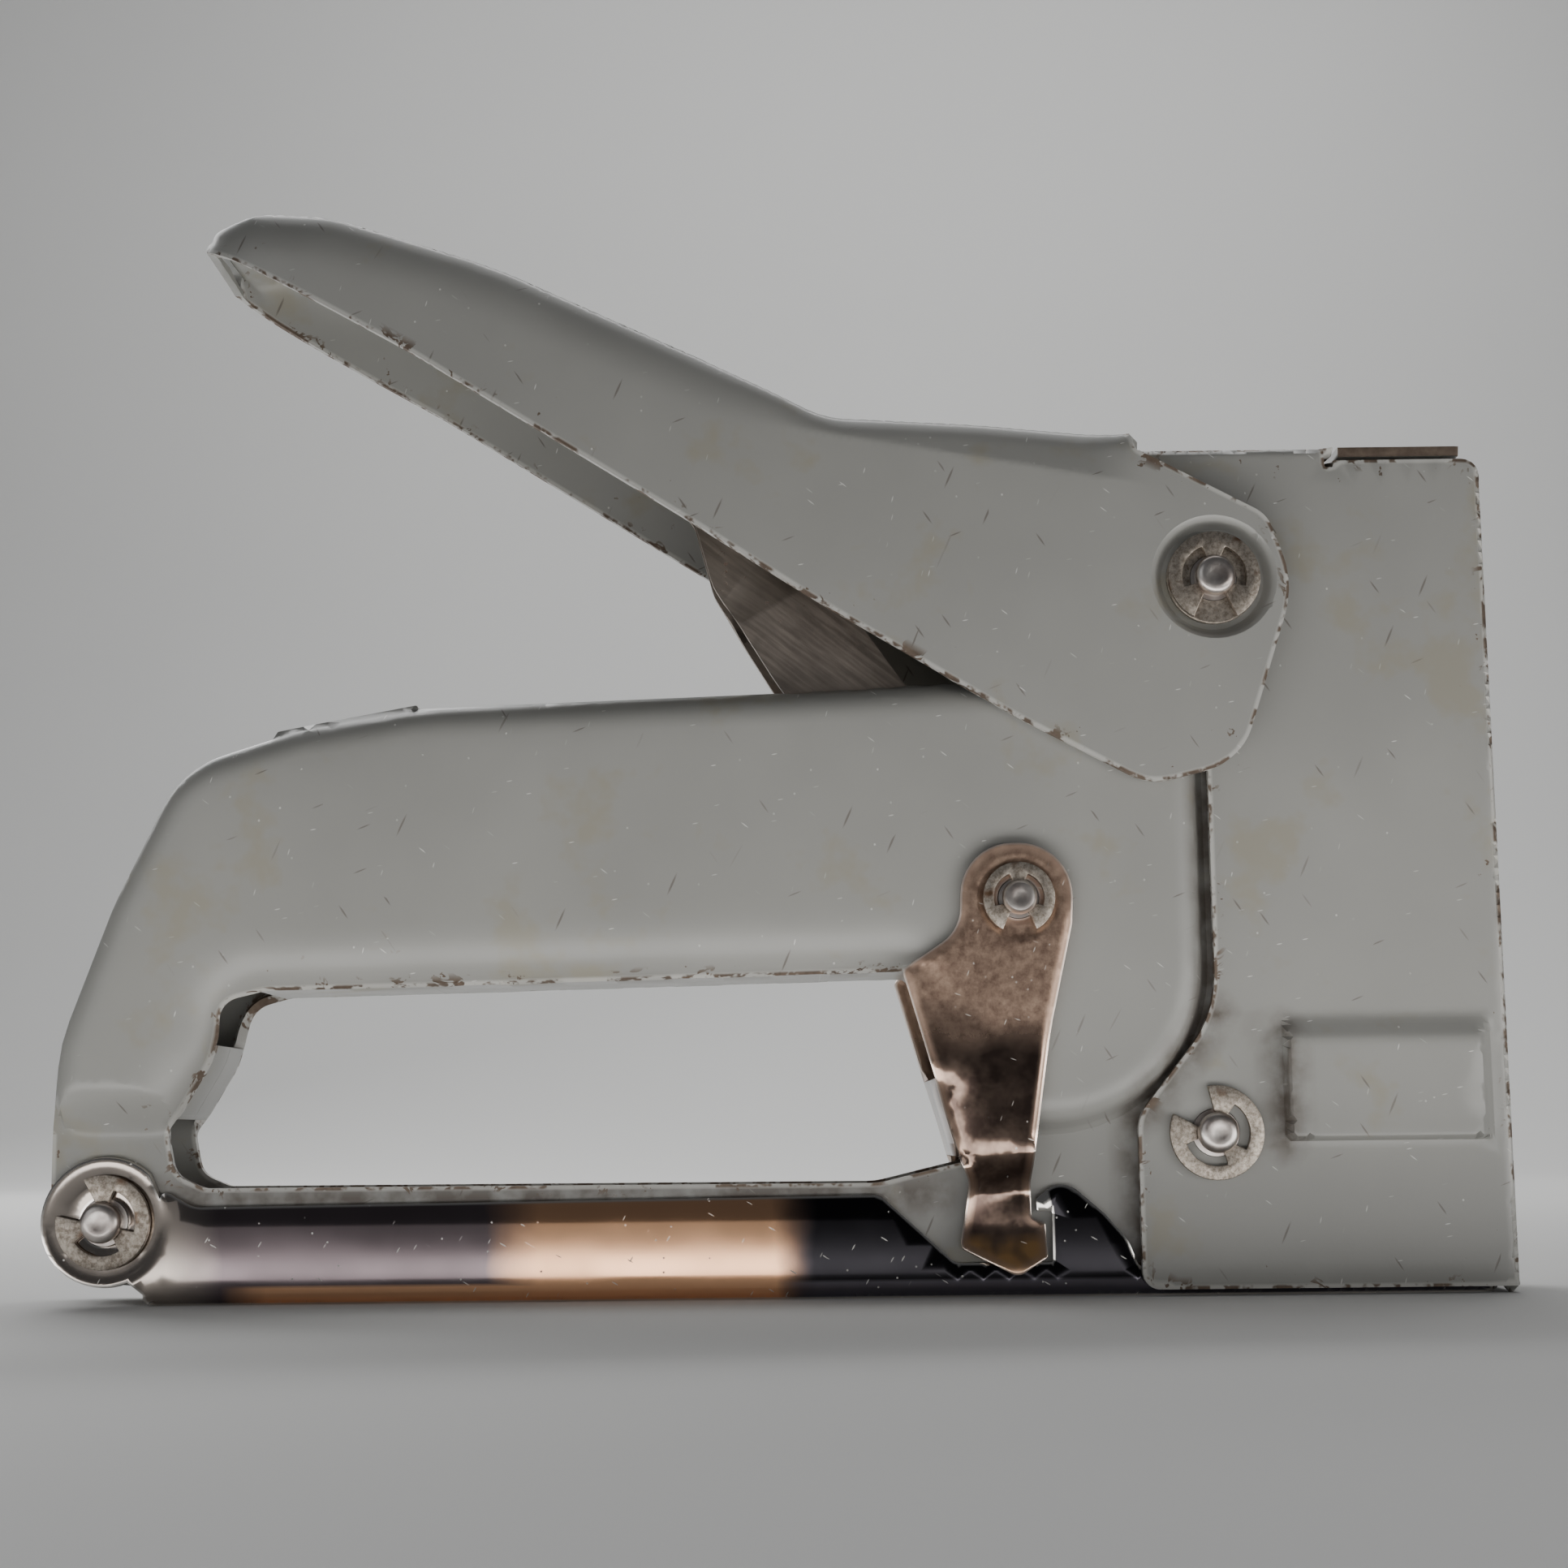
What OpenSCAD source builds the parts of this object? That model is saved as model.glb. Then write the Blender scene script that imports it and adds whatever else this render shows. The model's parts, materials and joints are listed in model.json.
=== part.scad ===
// Hand staple gun: an all-metal tacker with a squeeze lever over a closed grip.
// +X points to the front (nose), +Z up, the origin is on the base under the middle of the tool.
// Side outlines are drawn in the X-Z plane and extruded along Y; the tool is symmetric about Y = 0.

/* [Overall] */
// Length from the rear ear to the front of the head
total_len = 174; // [145:1:209]
// Height of the head above the base
head_h = 102; // [96:1:123]
// Width over the two grip bulges
body_w = 23; // [19:0.5:28]

/* [Sheet metal] */
// Thickness of the body stampings
body_t = 1.2; // [1:0.1:1.4]
// Thickness of the head sheet
head_t = 1.2; // [1:0.1:1.4]
// Thickness of the lever sheet
lever_t = 1.2; // [1:0.1:1.4]
// Thickness of the magazine channel
mag_t = 1.0; // [0.8:0.1:1.2]
// Thickness of the latch sheet
latch_t = 1.0; // [0.8:0.1:1.2]
// Thickness of each rocker plate
rocker_t = 1.2; // [1:0.1:1.6]

/* [Grip] */
// Height of the grip's top edge in the middle
grip_top_z = 72.3; // [68:0.1:74]
// Height of the upper edge of the finger opening
opening_top_z = 38.2; // [34:0.1:42]
// Height of the lower edge of the finger opening
opening_low_z = 13.6; // [13.4:0.1:15]
// Rounding of the bulge's edge
bulge_round = 4; // [2:0.5:5]
// Front edge of the bulge, back from the front of the head
bulge_setback = 35.95; // [33:0.05:38]

/* [Staples] */
// Width of the staples it drives
staple_w = 10.6; // [9:0.1:12.7]
// Thickness of the staple wire
staple_wire = 1.25; // [1:0.05:1.4]
// Height of the rail that the staples sit on
rail_h = 7.5; // [6:0.5:8]

/* [Magazine] */
// Height of the channel's sides
mag_h = 12; // [11:0.1:12.4]
// Radius of the rear ears
ear_r = 7.55; // [6.5:0.05:8]
// Height of the rear hinge pin above the base
rear_pin_z = 9.8; // [8.5:0.1:10]

/* [Head] */
// Width over the head's sides
head_w = 20; // [19:0.5:24]
// Length of the head along the base
head_len = 44.35; // [42:0.05:52]
// Length of the raised pocket
pocket_len = 24.8; // [20:0.1:24.8]
// Height of the raised pocket
pocket_h = 12.8; // [10:0.1:14]
// Height of the pocket's lower edge
pocket_z = 17.8; // [16:0.1:18]
// How far the pocket stands out
pocket_out = 2.5; // [1.5:0.1:3]

/* [Pins] */
// Diameter of the three large pins
pin_d = 5.56; // [4.8:0.01:6.4]
// Diameter of the latch pin
latch_pin_d = 4.76; // [4:0.01:5.4]
// Outside diameter of the large retaining rings
ring_d = 11.1; // [10:0.1:12.5]
// Outside diameter of the small retaining ring
small_ring_d = 8.5; // [7.8:0.1:9.5]
// Thickness of the retaining rings
ring_t = 0.9; // [0.7:0.1:1]
// Lever pivot, back from the front of the head
pivot_setback = 33.65; // [32:0.05:36]
// Lever pivot, below the top of the head
pivot_drop = 16.8; // [14:0.1:20]
// Latch pin, back from the front of the head
latch_setback = 58.15; // [56:0.05:60]
// Height of the latch pin
latch_pin_z = 46.6; // [44:0.1:50]
// Front pin, back from the front of the head
front_pin_setback = 35.25; // [33:0.05:37]
// Height of the front pin
front_pin_z = 18.9; // [17:0.1:21]

/* [Lever] */
// Lever length, from the pivot to the rear end
lever_len = 121.5; // [100:0.5:146]
// Side clearance of the lever's ears and the latch's arms
ear_gap_side = 0.4; // [0.3:0.1:0.8]
// How much wider each side is at the rear
lever_flare = 1.6; // [0:0.1:2.5]
// Radius of the dish round the pivot
dish_r = 7.3; // [6.8:0.1:8]

/* [Drive] */
// Reach of the rocker's front arm
rocker_reach = 40; // [38:0.1:42]
// Radius of the rocker's front end
rocker_tip_r = 4.4; // [3.5:0.1:5]
// Turn of the rocker over the whole stroke, in degrees
rocker_turn = 27; // [20:0.5:30]
// Outside diameter of the power spring
spring_d = 15.6; // [12:0.1:16]
// Wire diameter of the power spring
spring_wire = 2.6; // [2:0.1:3]
// Thickness of the striker blade
blade_t = 1.2; // [0.9:0.1:1.3]

/* [Fits] */
// Radial clearance of a pin in its hole
pin_fit = 0.05; // [0.02:0.01:0.1]
// Side clearance between sheets that slide past each other
slide_fit = 0.2; // [0.1:0.05:0.3]
// Clearance between pieces that only sit next to each other
seat_fit = 0.1; // [0.05:0.05:0.3]

/* [Hidden] */
$fn = 48;
// largest turn of one step along a rounded corner, and the least turn worth rounding, in degrees
arc_step = 15;
min_turn = 4;

// places
front_x = total_len / 2;
rear_x = -total_len / 2;
pivot = [front_x - pivot_setback, head_h - pivot_drop];
fulcrum = [front_x - latch_setback, latch_pin_z];
front_hole = [front_x - front_pin_setback, front_pin_z];
rear_hole = [rear_x + ear_r, rear_pin_z];
bulge_x = front_x - bulge_setback;

// half-widths, from the inside out
rail_out = staple_w / 2 - staple_wire - seat_fit;
flange_in = staple_w / 2 + 0.9;
flange_out = flange_in + body_t;
mag_in = flange_out + slide_fit;
mag_out = mag_in + mag_t;
head_in = max(head_w / 2 - head_t, mag_out + slide_fit);
head_out = head_in + head_t;
bulge_out = max(body_w / 2, flange_out + body_t);
yoke_in = max(bulge_out, head_out) + ear_gap_side;
lever_out = yoke_in + lever_t;
latch_out = yoke_in + latch_t;
rocker_out = flange_in - 2 * slide_fit;
dish_in = head_out + seat_fit;
dish_out = dish_in + lever_t;
washer_t = 0.8;

// ---------- outlines ----------
function unit(v) = v / norm(v);
function left_of(v) = [-v.y, v.x];
function turn(v, a) = [v.x * cos(a) - v.y * sin(a), v.x * sin(a) + v.y * cos(a)];
function shift(p, by) = [for (q = p) q + by];

// an anticlockwise outline moved inward by d
function inset(p, d) = let (n = len(p)) [
    for (i = [0:n - 1])
        let (u = unit(p[i] - p[(i + n - 1) % n]), w = unit(p[(i + 1) % n] - p[i]))
            p[i] + d * (left_of(u) + left_of(w)) / (1 + u * w)];

// the arc that rounds the corner b between a and c
function corner(a, b, c, r) = let (
    u = unit(b - a), w = unit(c - b),
    side = u.x * w.y - u.y * w.x >= 0 ? 1 : -1,
    angle = acos(min(1, max(-1, u * w))),
    centre = b - u * r * tan(angle / 2) + side * r * left_of(u),
    steps = ceil(angle / arc_step - 0.01))
    angle < min_turn ? [b]
    : [for (i = [0:steps]) centre + turn(-side * r * left_of(u), side * angle * i / steps)];

function rounded(p, r) = let (n = len(p)) [
    for (i = [0:n - 1]) each corner(p[(i + n - 1) % n], p[i], p[(i + 1) % n], r[i])];

// corner radii of an outline that was moved inward by d: convex corners tighten, hollow ones open
function inset_radii(p, r, d) = let (n = len(p)) [
    for (i = [0:n - 1])
        let (u = p[i] - p[(i + n - 1) % n], w = p[(i + 1) % n] - p[i])
            u.x * w.y - u.y * w.x >= 0 ? max(0.2, r[i] - d) : r[i] + d];

// triangles of an anticlockwise outline with hollow corners, cut off one ear at a time
function wedge(a, b, c) = (b.x - a.x) * (c.y - a.y) - (b.y - a.y) * (c.x - a.x);
function holds(a, b, c, q) = wedge(a, b, q) >= 0 && wedge(b, c, q) >= 0 && wedge(c, a, q) >= 0;
function is_ear(p, left, i) = let (
    n = len(left), a = left[(i + n - 1) % n], b = left[i], c = left[(i + 1) % n])
    wedge(p[a], p[b], p[c]) > 0.000001
        && len([for (q = left) if (q != a && q != b && q != c && holds(p[a], p[b], p[c], p[q])) q]) == 0;
function first_ear(p, left, i = 0) = is_ear(p, left, i) ? i : first_ear(p, left, i + 1);
function ears(p, left) = len(left) == 3 ? [left] : let (n = len(left), e = first_ear(p, left))
    concat([[left[(e + n - 1) % n], left[e], left[(e + 1) % n]]],
        ears(p, [for (i = [0:n - 1]) if (i != e) left[i]]));

// ---------- solids ----------
// an X-Z outline between two values of Y
module slab(y0, y1) {
    translate([0, y1, 0]) rotate([90, 0, 0]) linear_extrude(height = y1 - y0) children();
}

// a round bar along Y
module bar(at, r, y0, y1) {
    translate([at.x, y1, at.y]) rotate([90, 0, 0]) cylinder(r = r, h = y1 - y0);
}

module both_sides() {
    children();
    mirror([0, 1, 0]) children();
}

// stacked loops with the same number of points, joined into one closed solid
module loft(loops, ys) {
    n = len(loops[0]);
    m = len(loops);
    points = [for (k = [0:m - 1]) for (q = loops[k]) [q.x, ys[k], q.y]];
    sides = [
        for (k = [0:m - 2]) for (i = [0:n - 1])
            let (j = (i + 1) % n, a = k * n + i, b = k * n + j, c = a + n, d = b + n)
                each [[a, b, c], [b, d, c]]];
    floor_faces = [
        for (t = ears(loops[0], [for (i = [0:n - 1]) i])) [t[2], t[1], t[0]]];
    top_faces = [
        for (t = ears(loops[m - 1], [for (i = [0:n - 1]) i]))
            [t[0] + (m - 1) * n, t[1] + (m - 1) * n, t[2] + (m - 1) * n]];
    polyhedron(points = points, faces = concat(floor_faces, top_faces, sides), convexity = 6);
}

// a wire coil along +Z with flat-lying ends; sides sets how round the wire is
module coil(r, wire_r, length, turns, per_turn, sides) {
    count = turns * per_turn;
    rise = length - 2 * wire_r;
    ring = [for (i = [0:count]) let (
        a = 360 * i / per_turn,
        f = i / count,
        z = wire_r + rise * f)
        for (s = [0:sides - 1]) let (b = 360 * s / sides)
            [(r + wire_r * cos(b)) * cos(a), (r + wire_r * cos(b)) * sin(a), z + wire_r * sin(b)]];
    skin = [for (i = [0:count - 1]) for (s = [0:sides - 1])
        let (t = (s + 1) % sides, p = i * sides)
            each [[p + s, p + sides + s, p + t], [p + t, p + sides + s, p + sides + t]]];
    start_face = [for (s = [0:sides - 1]) s];
    end_face = [for (s = [0:sides - 1]) (count + 1) * sides - 1 - s];
    polyhedron(points = ring, faces = concat([start_face, end_face], skin), convexity = 12);
}

// ---------- body ----------
rear_foot_z = 20.5;
body_front_x = front_x - 25;
rear_leg = shift([[1.45, 30.9], [7.45, 47.5], [14.35, 62]], [rear_x, 0]);
grip_back = shift([[18.55, -7.3], [29.95, -3.7], [44.65, -1.4], [87.75, 0]], [rear_x, grip_top_z]);

body_outline = rounded(concat(
    [[rear_x + 0.8, rear_pin_z - 6.6], [rear_hole.x + 5, 2.2], [body_front_x, 2.2]],
    [[body_front_x, pivot.y + 10.5], [pivot.x - 6.5, pivot.y + 10.5], [pivot.x - 6.5, grip_top_z + 1.7]],
    [[fulcrum.x - 9.9, grip_top_z + 0.9]],
    [for (i = [3:-1:0]) grip_back[i]],
    [rear_leg[2], rear_leg[1], rear_leg[0], [rear_x + 0.8, rear_foot_z]]),
    [6.2, 2, 2, 2, 2, 2, 20, 30, 30, 12, 6, 5, 20, 20, 12]);

opening_outline = rounded([
    [rear_x + 19, opening_low_z],
    [fulcrum.x - 16.8, opening_low_z - 0.2],
    [fulcrum.x - 5.7, opening_low_z + 2.4],
    [fulcrum.x - 12.6, opening_top_z + 0.2],
    [rear_x + 46, opening_top_z - 1],
    [rear_x + 21.4, opening_top_z - 1.8],
    [rear_x + 19.6, 28.5],
    [rear_x + 15, rear_foot_z]],
    [3, 8, 1, 1, 30, 6, 20, 4]);

bulge_corners = concat(
    [[rear_x + 0.8, rear_foot_z], [rear_x + 15, rear_foot_z], [rear_x + 19.6, 28.5]],
    [[rear_x + 21.4, opening_top_z - 1.8], [rear_x + 46, opening_top_z - 1]],
    [[fulcrum.x - 12.6, opening_top_z + 0.2], [fulcrum.x - 6.7, 19.6], [bulge_x, 19.6]],
    [[bulge_x, grip_top_z + 1.7], [fulcrum.x - 9.9, grip_top_z + 0.9]],
    [for (i = [3:-1:0]) grip_back[i]],
    [rear_leg[2], rear_leg[1], rear_leg[0]]);
bulge_radii = [4.2, 4.2, 20, 6, 30, 3, 5, 19, 4.5, 20, 30, 30, 12, 6, 5, 20, 20];

function bulge_loop(d) = rounded(inset(bulge_corners, d), inset_radii(bulge_corners, bulge_radii, d));

// the raised bulge as a solid, moved inward by d; its edge is a quarter round
module bulge(y0, d) {
    r = bulge_round - d;
    angles = [0, 22.5, 45, 67.5, 90];
    loft(concat([bulge_loop(d)], [for (a = angles) bulge_loop(d + r * (1 - cos(a)))]),
        concat([y0], [for (a = angles) bulge_out - d - r * (1 - sin(a))]));
}

module body_shell() {
    difference() {
        union() {
            slab(flange_in, flange_out) polygon(body_outline);
            bulge(seat_fit / 2, 0);
        }
        bulge(-1, body_t);
        slab(-1, bulge_out + 1) polygon(opening_outline);
        // clear way for the rocker through the grip's top, and an open front below it
        slab(-1, flange_in) polygon([
            [rocker_sweep_x, grip_top_z - 6], [fulcrum.x - 17, grip_top_z - 6], [fulcrum.x - 17, 15],
            [bulge_x + 2, 15], [bulge_x + 2, grip_top_z + 9], [rocker_sweep_x, grip_top_z + 9]]);
        bar(pivot, pin_d / 2 + pin_fit, 0, bulge_out + 1);
        bar(front_hole, pin_d / 2 + pin_fit, 0, bulge_out + 1);
        bar(rear_hole, pin_d / 2 + pin_fit, 0, bulge_out + 1);
        bar(fulcrum, latch_pin_d / 2 + pin_fit, 0, bulge_out + 1);
    }
}

module body_shell_left() {
    color([0.66, 0.66, 0.63]) mirror([0, 1, 0]) body_shell();
}

module body_shell_right() {
    color([0.66, 0.66, 0.63]) body_shell();
}

// ---------- head ----------
head_low_x = front_x - head_len;
head_base_z = 0.8;
head_outline = rounded([
    [head_low_x, head_base_z], [front_x, head_base_z], [front_x, head_h], [pivot.x - 8, head_h],
    [pivot.x - 9.3, head_h - 4], [pivot.x - 9.3, grip_top_z + 2.3], [bulge_x + 1.2, grip_top_z + 2.3],
    [bulge_x + 1.2, front_pin_z + 14], [head_low_x, front_pin_z + 2]],
    [2, 0.5, 3, 0.5, 2, 2, 0.5, 14, 5]);
pocket_x1 = front_x - 2.75;
pocket_x0 = pocket_x1 - pocket_len;

module head_side() {
    difference() {
        union() {
            slab(head_in, head_out) polygon(head_outline);
            slab(head_in, head_out + pocket_out) polygon([
                [pocket_x0, pocket_z], [pocket_x1, pocket_z],
                [pocket_x1, pocket_z + pocket_h], [pocket_x0, pocket_z + pocket_h]]);
        }
        slab(head_in - 1, head_out + pocket_out - head_t) polygon([
            [pocket_x0 + head_t, pocket_z + head_t], [pocket_x1 - head_t, pocket_z + head_t],
            [pocket_x1 - head_t, pocket_z + pocket_h - head_t],
            [pocket_x0 + head_t, pocket_z + pocket_h - head_t]]);
        bar(pivot, pin_d / 2 + pin_fit, head_in - 1, head_out + 1);
        bar(front_hole, pin_d / 2 + pin_fit, head_in - 1, head_out + 1);
    }
}

module head_housing() {
    notch_x = pivot.x + 15.3;
    color([0.66, 0.66, 0.63]) {
        both_sides() head_side();
        // front wall
        translate([front_x - head_t, -head_out, head_base_z])
            cube([head_t, 2 * head_out, head_h - head_base_z - 3]);
        // top, with the notch where the two folded edges meet
        difference() {
            translate([pivot.x - 8, -head_out, head_h - head_t])
                cube([front_x - 3 - pivot.x + 8, 2 * head_out, head_t]);
            translate([notch_x, -head_out - 1, head_h - head_t - 1]) cube([1.8, 7, head_t + 2]);
        }
    }
}

blade_play = 0.35;
guide_x = front_x - head_t - blade_play - blade_t - seat_fit - head_t;

// plate behind the striker blade, with a rail on each side of the blade and a slot for its lug
module front_guide() {
    guide_low = mag_h + 0.8;
    guide_top = plunger_z1 + plunger_lift + 6;
    rail_low = head_base_z + 0.4;
    rail_w = head_in - staple_w / 2 - 2 * seat_fit;
    color([0.45, 0.45, 0.44]) difference() {
        union() {
            translate([guide_x, -head_in + seat_fit, guide_low])
                cube([head_t, 2 * head_in - 2 * seat_fit, guide_top - guide_low]);
            both_sides() translate([guide_x + head_t, staple_w / 2 + seat_fit, rail_low])
                cube([blade_t + blade_play, rail_w, guide_top - rail_low]);
        }
        translate([guide_x - 1, -lug_w / 2 - 0.4, plunger_z0 - 2])
            cube([head_t + 1, lug_w + 0.8, plunger_z1 + plunger_lift + 1 - plunger_z0 + 2]);
    }
}

// ---------- lever ----------
lever_top = shift([[-9.65, 18.5], [-28, 20.2], [-46.8, 21.1], [-60.65, 28], [-87.45, 40.6],
    [0.4 - lever_len + 14, 47], [6 - lever_len, 48.3], [0.5 - lever_len, 47]], pivot);
lever_low = shift([[-lever_len, 44], [24.5 - lever_len, 28.7], [-48.05, -2.3], [-24.05, -16.9],
    [-8.5, -25.2], [2.5, -22.5], [9.6, -0.9], [6.6, 7.6]], pivot);
lever_outline = rounded(concat(lever_low, [for (i = [0:7]) lever_top[i]]),
    [0.5, 20, 60, 40, 7, 8, 12, 4, 1, 20, 12, 30, 40, 12, 5, 1.5]);

// half-width of the lever from above, moved inward by d
function lever_half(d) = let (r = lever_out + lever_flare - d, f = lever_out - d) [
    [pivot.x + 14, f], [pivot.x - 10, f], [pivot.x - 46, f], [pivot.x - 62, r],
    [pivot.x - lever_len + 17, r], [pivot.x - lever_len + 9, r - 1.2], [pivot.x - lever_len + 4, r - 3.6],
    [pivot.x - lever_len + 1 + d, r - 7]];
function lever_plan(d) = concat(
    lever_half(d), [for (i = [7:-1:0]) [lever_half(d)[i].x, -lever_half(d)[i].y]]);

// points of the back's underside: the top edge moved down by the sheet's thickness
lever_back = concat(
    shift([[-9.65, 18.5], [-28, 20.2], [-46.8, 21.1], [-60.65, 28], [-87.45, 40.6],
        [0.4 - lever_len + 14, 47], [6 - lever_len, 48.3], [0.5 - lever_len, 47], [-lever_len, 44]], pivot),
    shift([[1.3 - lever_len, 43.6], [1.7 - lever_len, 46.1], [6.1 - lever_len, 47.1],
        [0.2 - lever_len + 14, 45.7], [-86.97, 39.5], [-60.1, 26.9], [-46.6, 19.9], [-28, 19], [-9.77, 17.3]],
        pivot));

module lever() {
    color([0.66, 0.66, 0.63]) difference() {
        union() {
            // sides
            intersection() {
                slab(-30, 30) polygon(lever_outline);
                linear_extrude(height = 2 * head_h) difference() {
                    polygon(lever_plan(0));
                    polygon(lever_plan(lever_t));
                }
                translate([-total_len, -40, 0]) cube([total_len + pivot.x + 12, 80, 2 * head_h]);
            }
            // back
            intersection() {
                slab(-30, 30) polygon(lever_back);
                linear_extrude(height = 2 * head_h) polygon(lever_plan(0));
            }
            // dish round the pivot
            both_sides() bar(pivot, dish_r + lever_t, dish_in, lever_out);
        }
        both_sides() bar(pivot, dish_r, dish_out, lever_out + 1);
        bar(pivot, pin_d / 2 + pin_fit, -lever_out - 1, lever_out + 1);
    }
}

// ---------- pins, rings, washers, spacers ----------
// a headed pin along Y: the head at +Y, the ring groove and rounded end at -Y
module pin(at, d, y_head, y_ring, head_d) {
    head_len = 1.5;
    end_len = 1.6;
    groove = ring_t + 0.1;
    translate([at.x, 0, at.y]) rotate([90, 0, 0]) rotate_extrude() polygon([
        [0, -y_head - head_len], [head_d / 2 - 0.5, -y_head - head_len], [head_d / 2, -y_head - head_len + 0.5],
        [head_d / 2, -y_head], [d / 2, -y_head], [d / 2, y_ring],
        [d / 2 - 0.6, y_ring], [d / 2 - 0.6, y_ring + groove], [d / 2, y_ring + groove],
        [d / 2, y_ring + groove + end_len * 0.4], [d / 2 - 0.8, y_ring + groove + end_len],
        [0, y_ring + groove + end_len]]);
}

// a retaining ring in the X-Z plane, with its mouth at the angle mouth
module e_ring(at, d, pin_size, y, mouth) {
    hole_r = d / 2 - (d - pin_size) * 0.29;
    grip_r = pin_size / 2 - 0.55;
    translate([at.x, y, at.y]) rotate([90, 0, 0]) rotate([0, 0, mouth]) linear_extrude(height = ring_t) {
        difference() {
            circle(r = d / 2);
            circle(r = hole_r);
            translate([0, -grip_r]) square([d, 2 * grip_r]);
        }
        difference() {
            union() {
                for (a = [118, 242]) rotate(a - 90 - 28) translate([0, 0]) square([hole_r + 0.3, 1.9]);
                translate([-hole_r - 0.3, -1.1]) square([hole_r, 2.2]);
                for (s = [-1, 1]) translate([0, s * (grip_r + 0.95) - 0.95]) square([hole_r * 0.86, 1.9]);
            }
            circle(r = grip_r);
            translate([0, -grip_r]) square([d, 2 * grip_r]);
        }
    }
}

lever_ring_y = dish_out + washer_t + 2 * seat_fit;
head_ring_y = head_out + seat_fit;
rear_ring_y = mag_out + seat_fit;
latch_ring_y = latch_out + seat_fit;
washer_r = 5.6;
spacer_wall = 1.4;

module lever_pivot_pin() {
    color("silver") pin(pivot, pin_d, lever_ring_y, lever_ring_y, 8.6);
}

module latch_pin() {
    color("silver") pin(fulcrum, latch_pin_d, latch_ring_y, latch_ring_y, 7.6);
}

module front_pin() {
    color("silver") pin(front_hole, pin_d, head_ring_y, head_ring_y, 8.6);
}

module rear_hinge_pin() {
    color("silver") pin(rear_hole, pin_d, rear_ring_y, rear_ring_y, 8.6);
}

module e_rings_large() {
    color([0.6, 0.58, 0.55]) {
        e_ring(pivot, ring_d, pin_d, -lever_ring_y - 0.05, 270);
        e_ring(front_hole, ring_d, pin_d, -head_ring_y - 0.05, 120);
        e_ring(rear_hole, ring_d, pin_d, -rear_ring_y - 0.05, 140);
    }
}

module e_ring_small() {
    color([0.6, 0.58, 0.55]) e_ring(fulcrum, small_ring_d, latch_pin_d, -latch_ring_y - 0.05, 270);
}

module ring_tube(at, r_out, r_in, y0, y1) {
    difference() {
        bar(at, r_out, y0, y1);
        bar(at, r_in, y0 - 1, y1 + 1);
    }
}

module pivot_washers() {
    color("silver") both_sides()
        ring_tube(pivot, washer_r, pin_d / 2 + pin_fit, dish_out + seat_fit, dish_out + seat_fit + washer_t);
}

// tube on a large pin that keeps the two body flanges apart
module between_flanges(at) {
    ring_tube(at, pin_d / 2 + spacer_wall, pin_d / 2 + pin_fit, -flange_in + seat_fit, flange_in - seat_fit);
}

// ring on each side between a body flange and the head's side
module head_spacers(at) {
    both_sides() ring_tube(
        at, washer_r, pin_d / 2 + pin_fit, flange_out + seat_fit / 2, head_in - seat_fit / 2);
}

module lever_pin_spacer() {
    color("gray") {
        between_flanges(pivot);
        head_spacers(pivot);
    }
}

module front_pin_spacers() {
    color("gray") {
        between_flanges(front_hole);
        head_spacers(front_hole);
    }
}

module rear_pin_spacer() {
    color("gray") between_flanges(rear_hole);
}

module latch_pin_spacers() {
    color("gray") both_sides() ring_tube(fulcrum, latch_pin_d / 2 + 1, latch_pin_d / 2 + pin_fit,
        rocker_out + slide_fit, bulge_out - body_t - seat_fit);
}

// ---------- rocker and plunger ----------
rocker_rest = -rocker_turn / 2;
rocker_tip = fulcrum + rocker_reach * [cos(rocker_rest), sin(rocker_rest)];
rocker_head = pivot + [-65.35, 22.85];
rocker_head_r = 5;
rocker_sweep_x = fulcrum.x - 57;
rocker_hub_r = 7;
neck = 2.6;

module rocker_plan() {
    arm_dir = unit(rocker_tip - fulcrum);
    polygon([
        rocker_head + [-4.2, 2.7], rocker_head + [-4.8, -1.5], pivot + [-63.1, 10.6],
        pivot + [-60.7, 1.6], pivot + [-53.4, -10.3], fulcrum + [-5.5, -4.5],
        fulcrum + [4, -5.8], rocker_tip - neck * left_of(arm_dir), rocker_tip + neck * left_of(arm_dir),
        fulcrum + [6, 5.5], pivot + [-37.4, -11.2], rocker_head + [4, 3]]);
    translate(rocker_head) circle(r = rocker_head_r);
    translate(rocker_tip) circle(r = rocker_tip_r);
    translate(fulcrum) circle(r = rocker_hub_r);
}

module rocker() {
    color([0.55, 0.52, 0.48]) difference() {
        union() {
            both_sides() slab(rocker_out - rocker_t, rocker_out) rocker_plan();
            // the folded edge that joins the two plates under the lever's back
            bar(rocker_head, rocker_head_r, -rocker_out, rocker_out);
        }
        bar(rocker_head, rocker_head_r - rocker_t, -rocker_out + rocker_t, rocker_out - rocker_t);
        translate([rocker_head.x - 20, -rocker_out + rocker_t, rocker_head.y - 20])
            cube([40, 2 * (rocker_out - rocker_t), 18.5]);
        bar(fulcrum, latch_pin_d / 2 + pin_fit, -rocker_out - 1, rocker_out + 1);
    }
}

// height that the plunger rises over the whole stroke
plunger_lift = 18.8;
lug_w = 5.2;
lug_h = 8;
plunger_x0 = rocker_tip.x - 4;
plunger_x1 = guide_x - 0.3;
plunger_z0 = pocket_z + pocket_h - 0.8;
plunger_z1 = rocker_tip.y + 10;
blade_x = guide_x + head_t + seat_fit;
spring_x = min((plunger_x0 + plunger_x1) / 2, guide_x - spring_d / 2 - 0.5);

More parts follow.
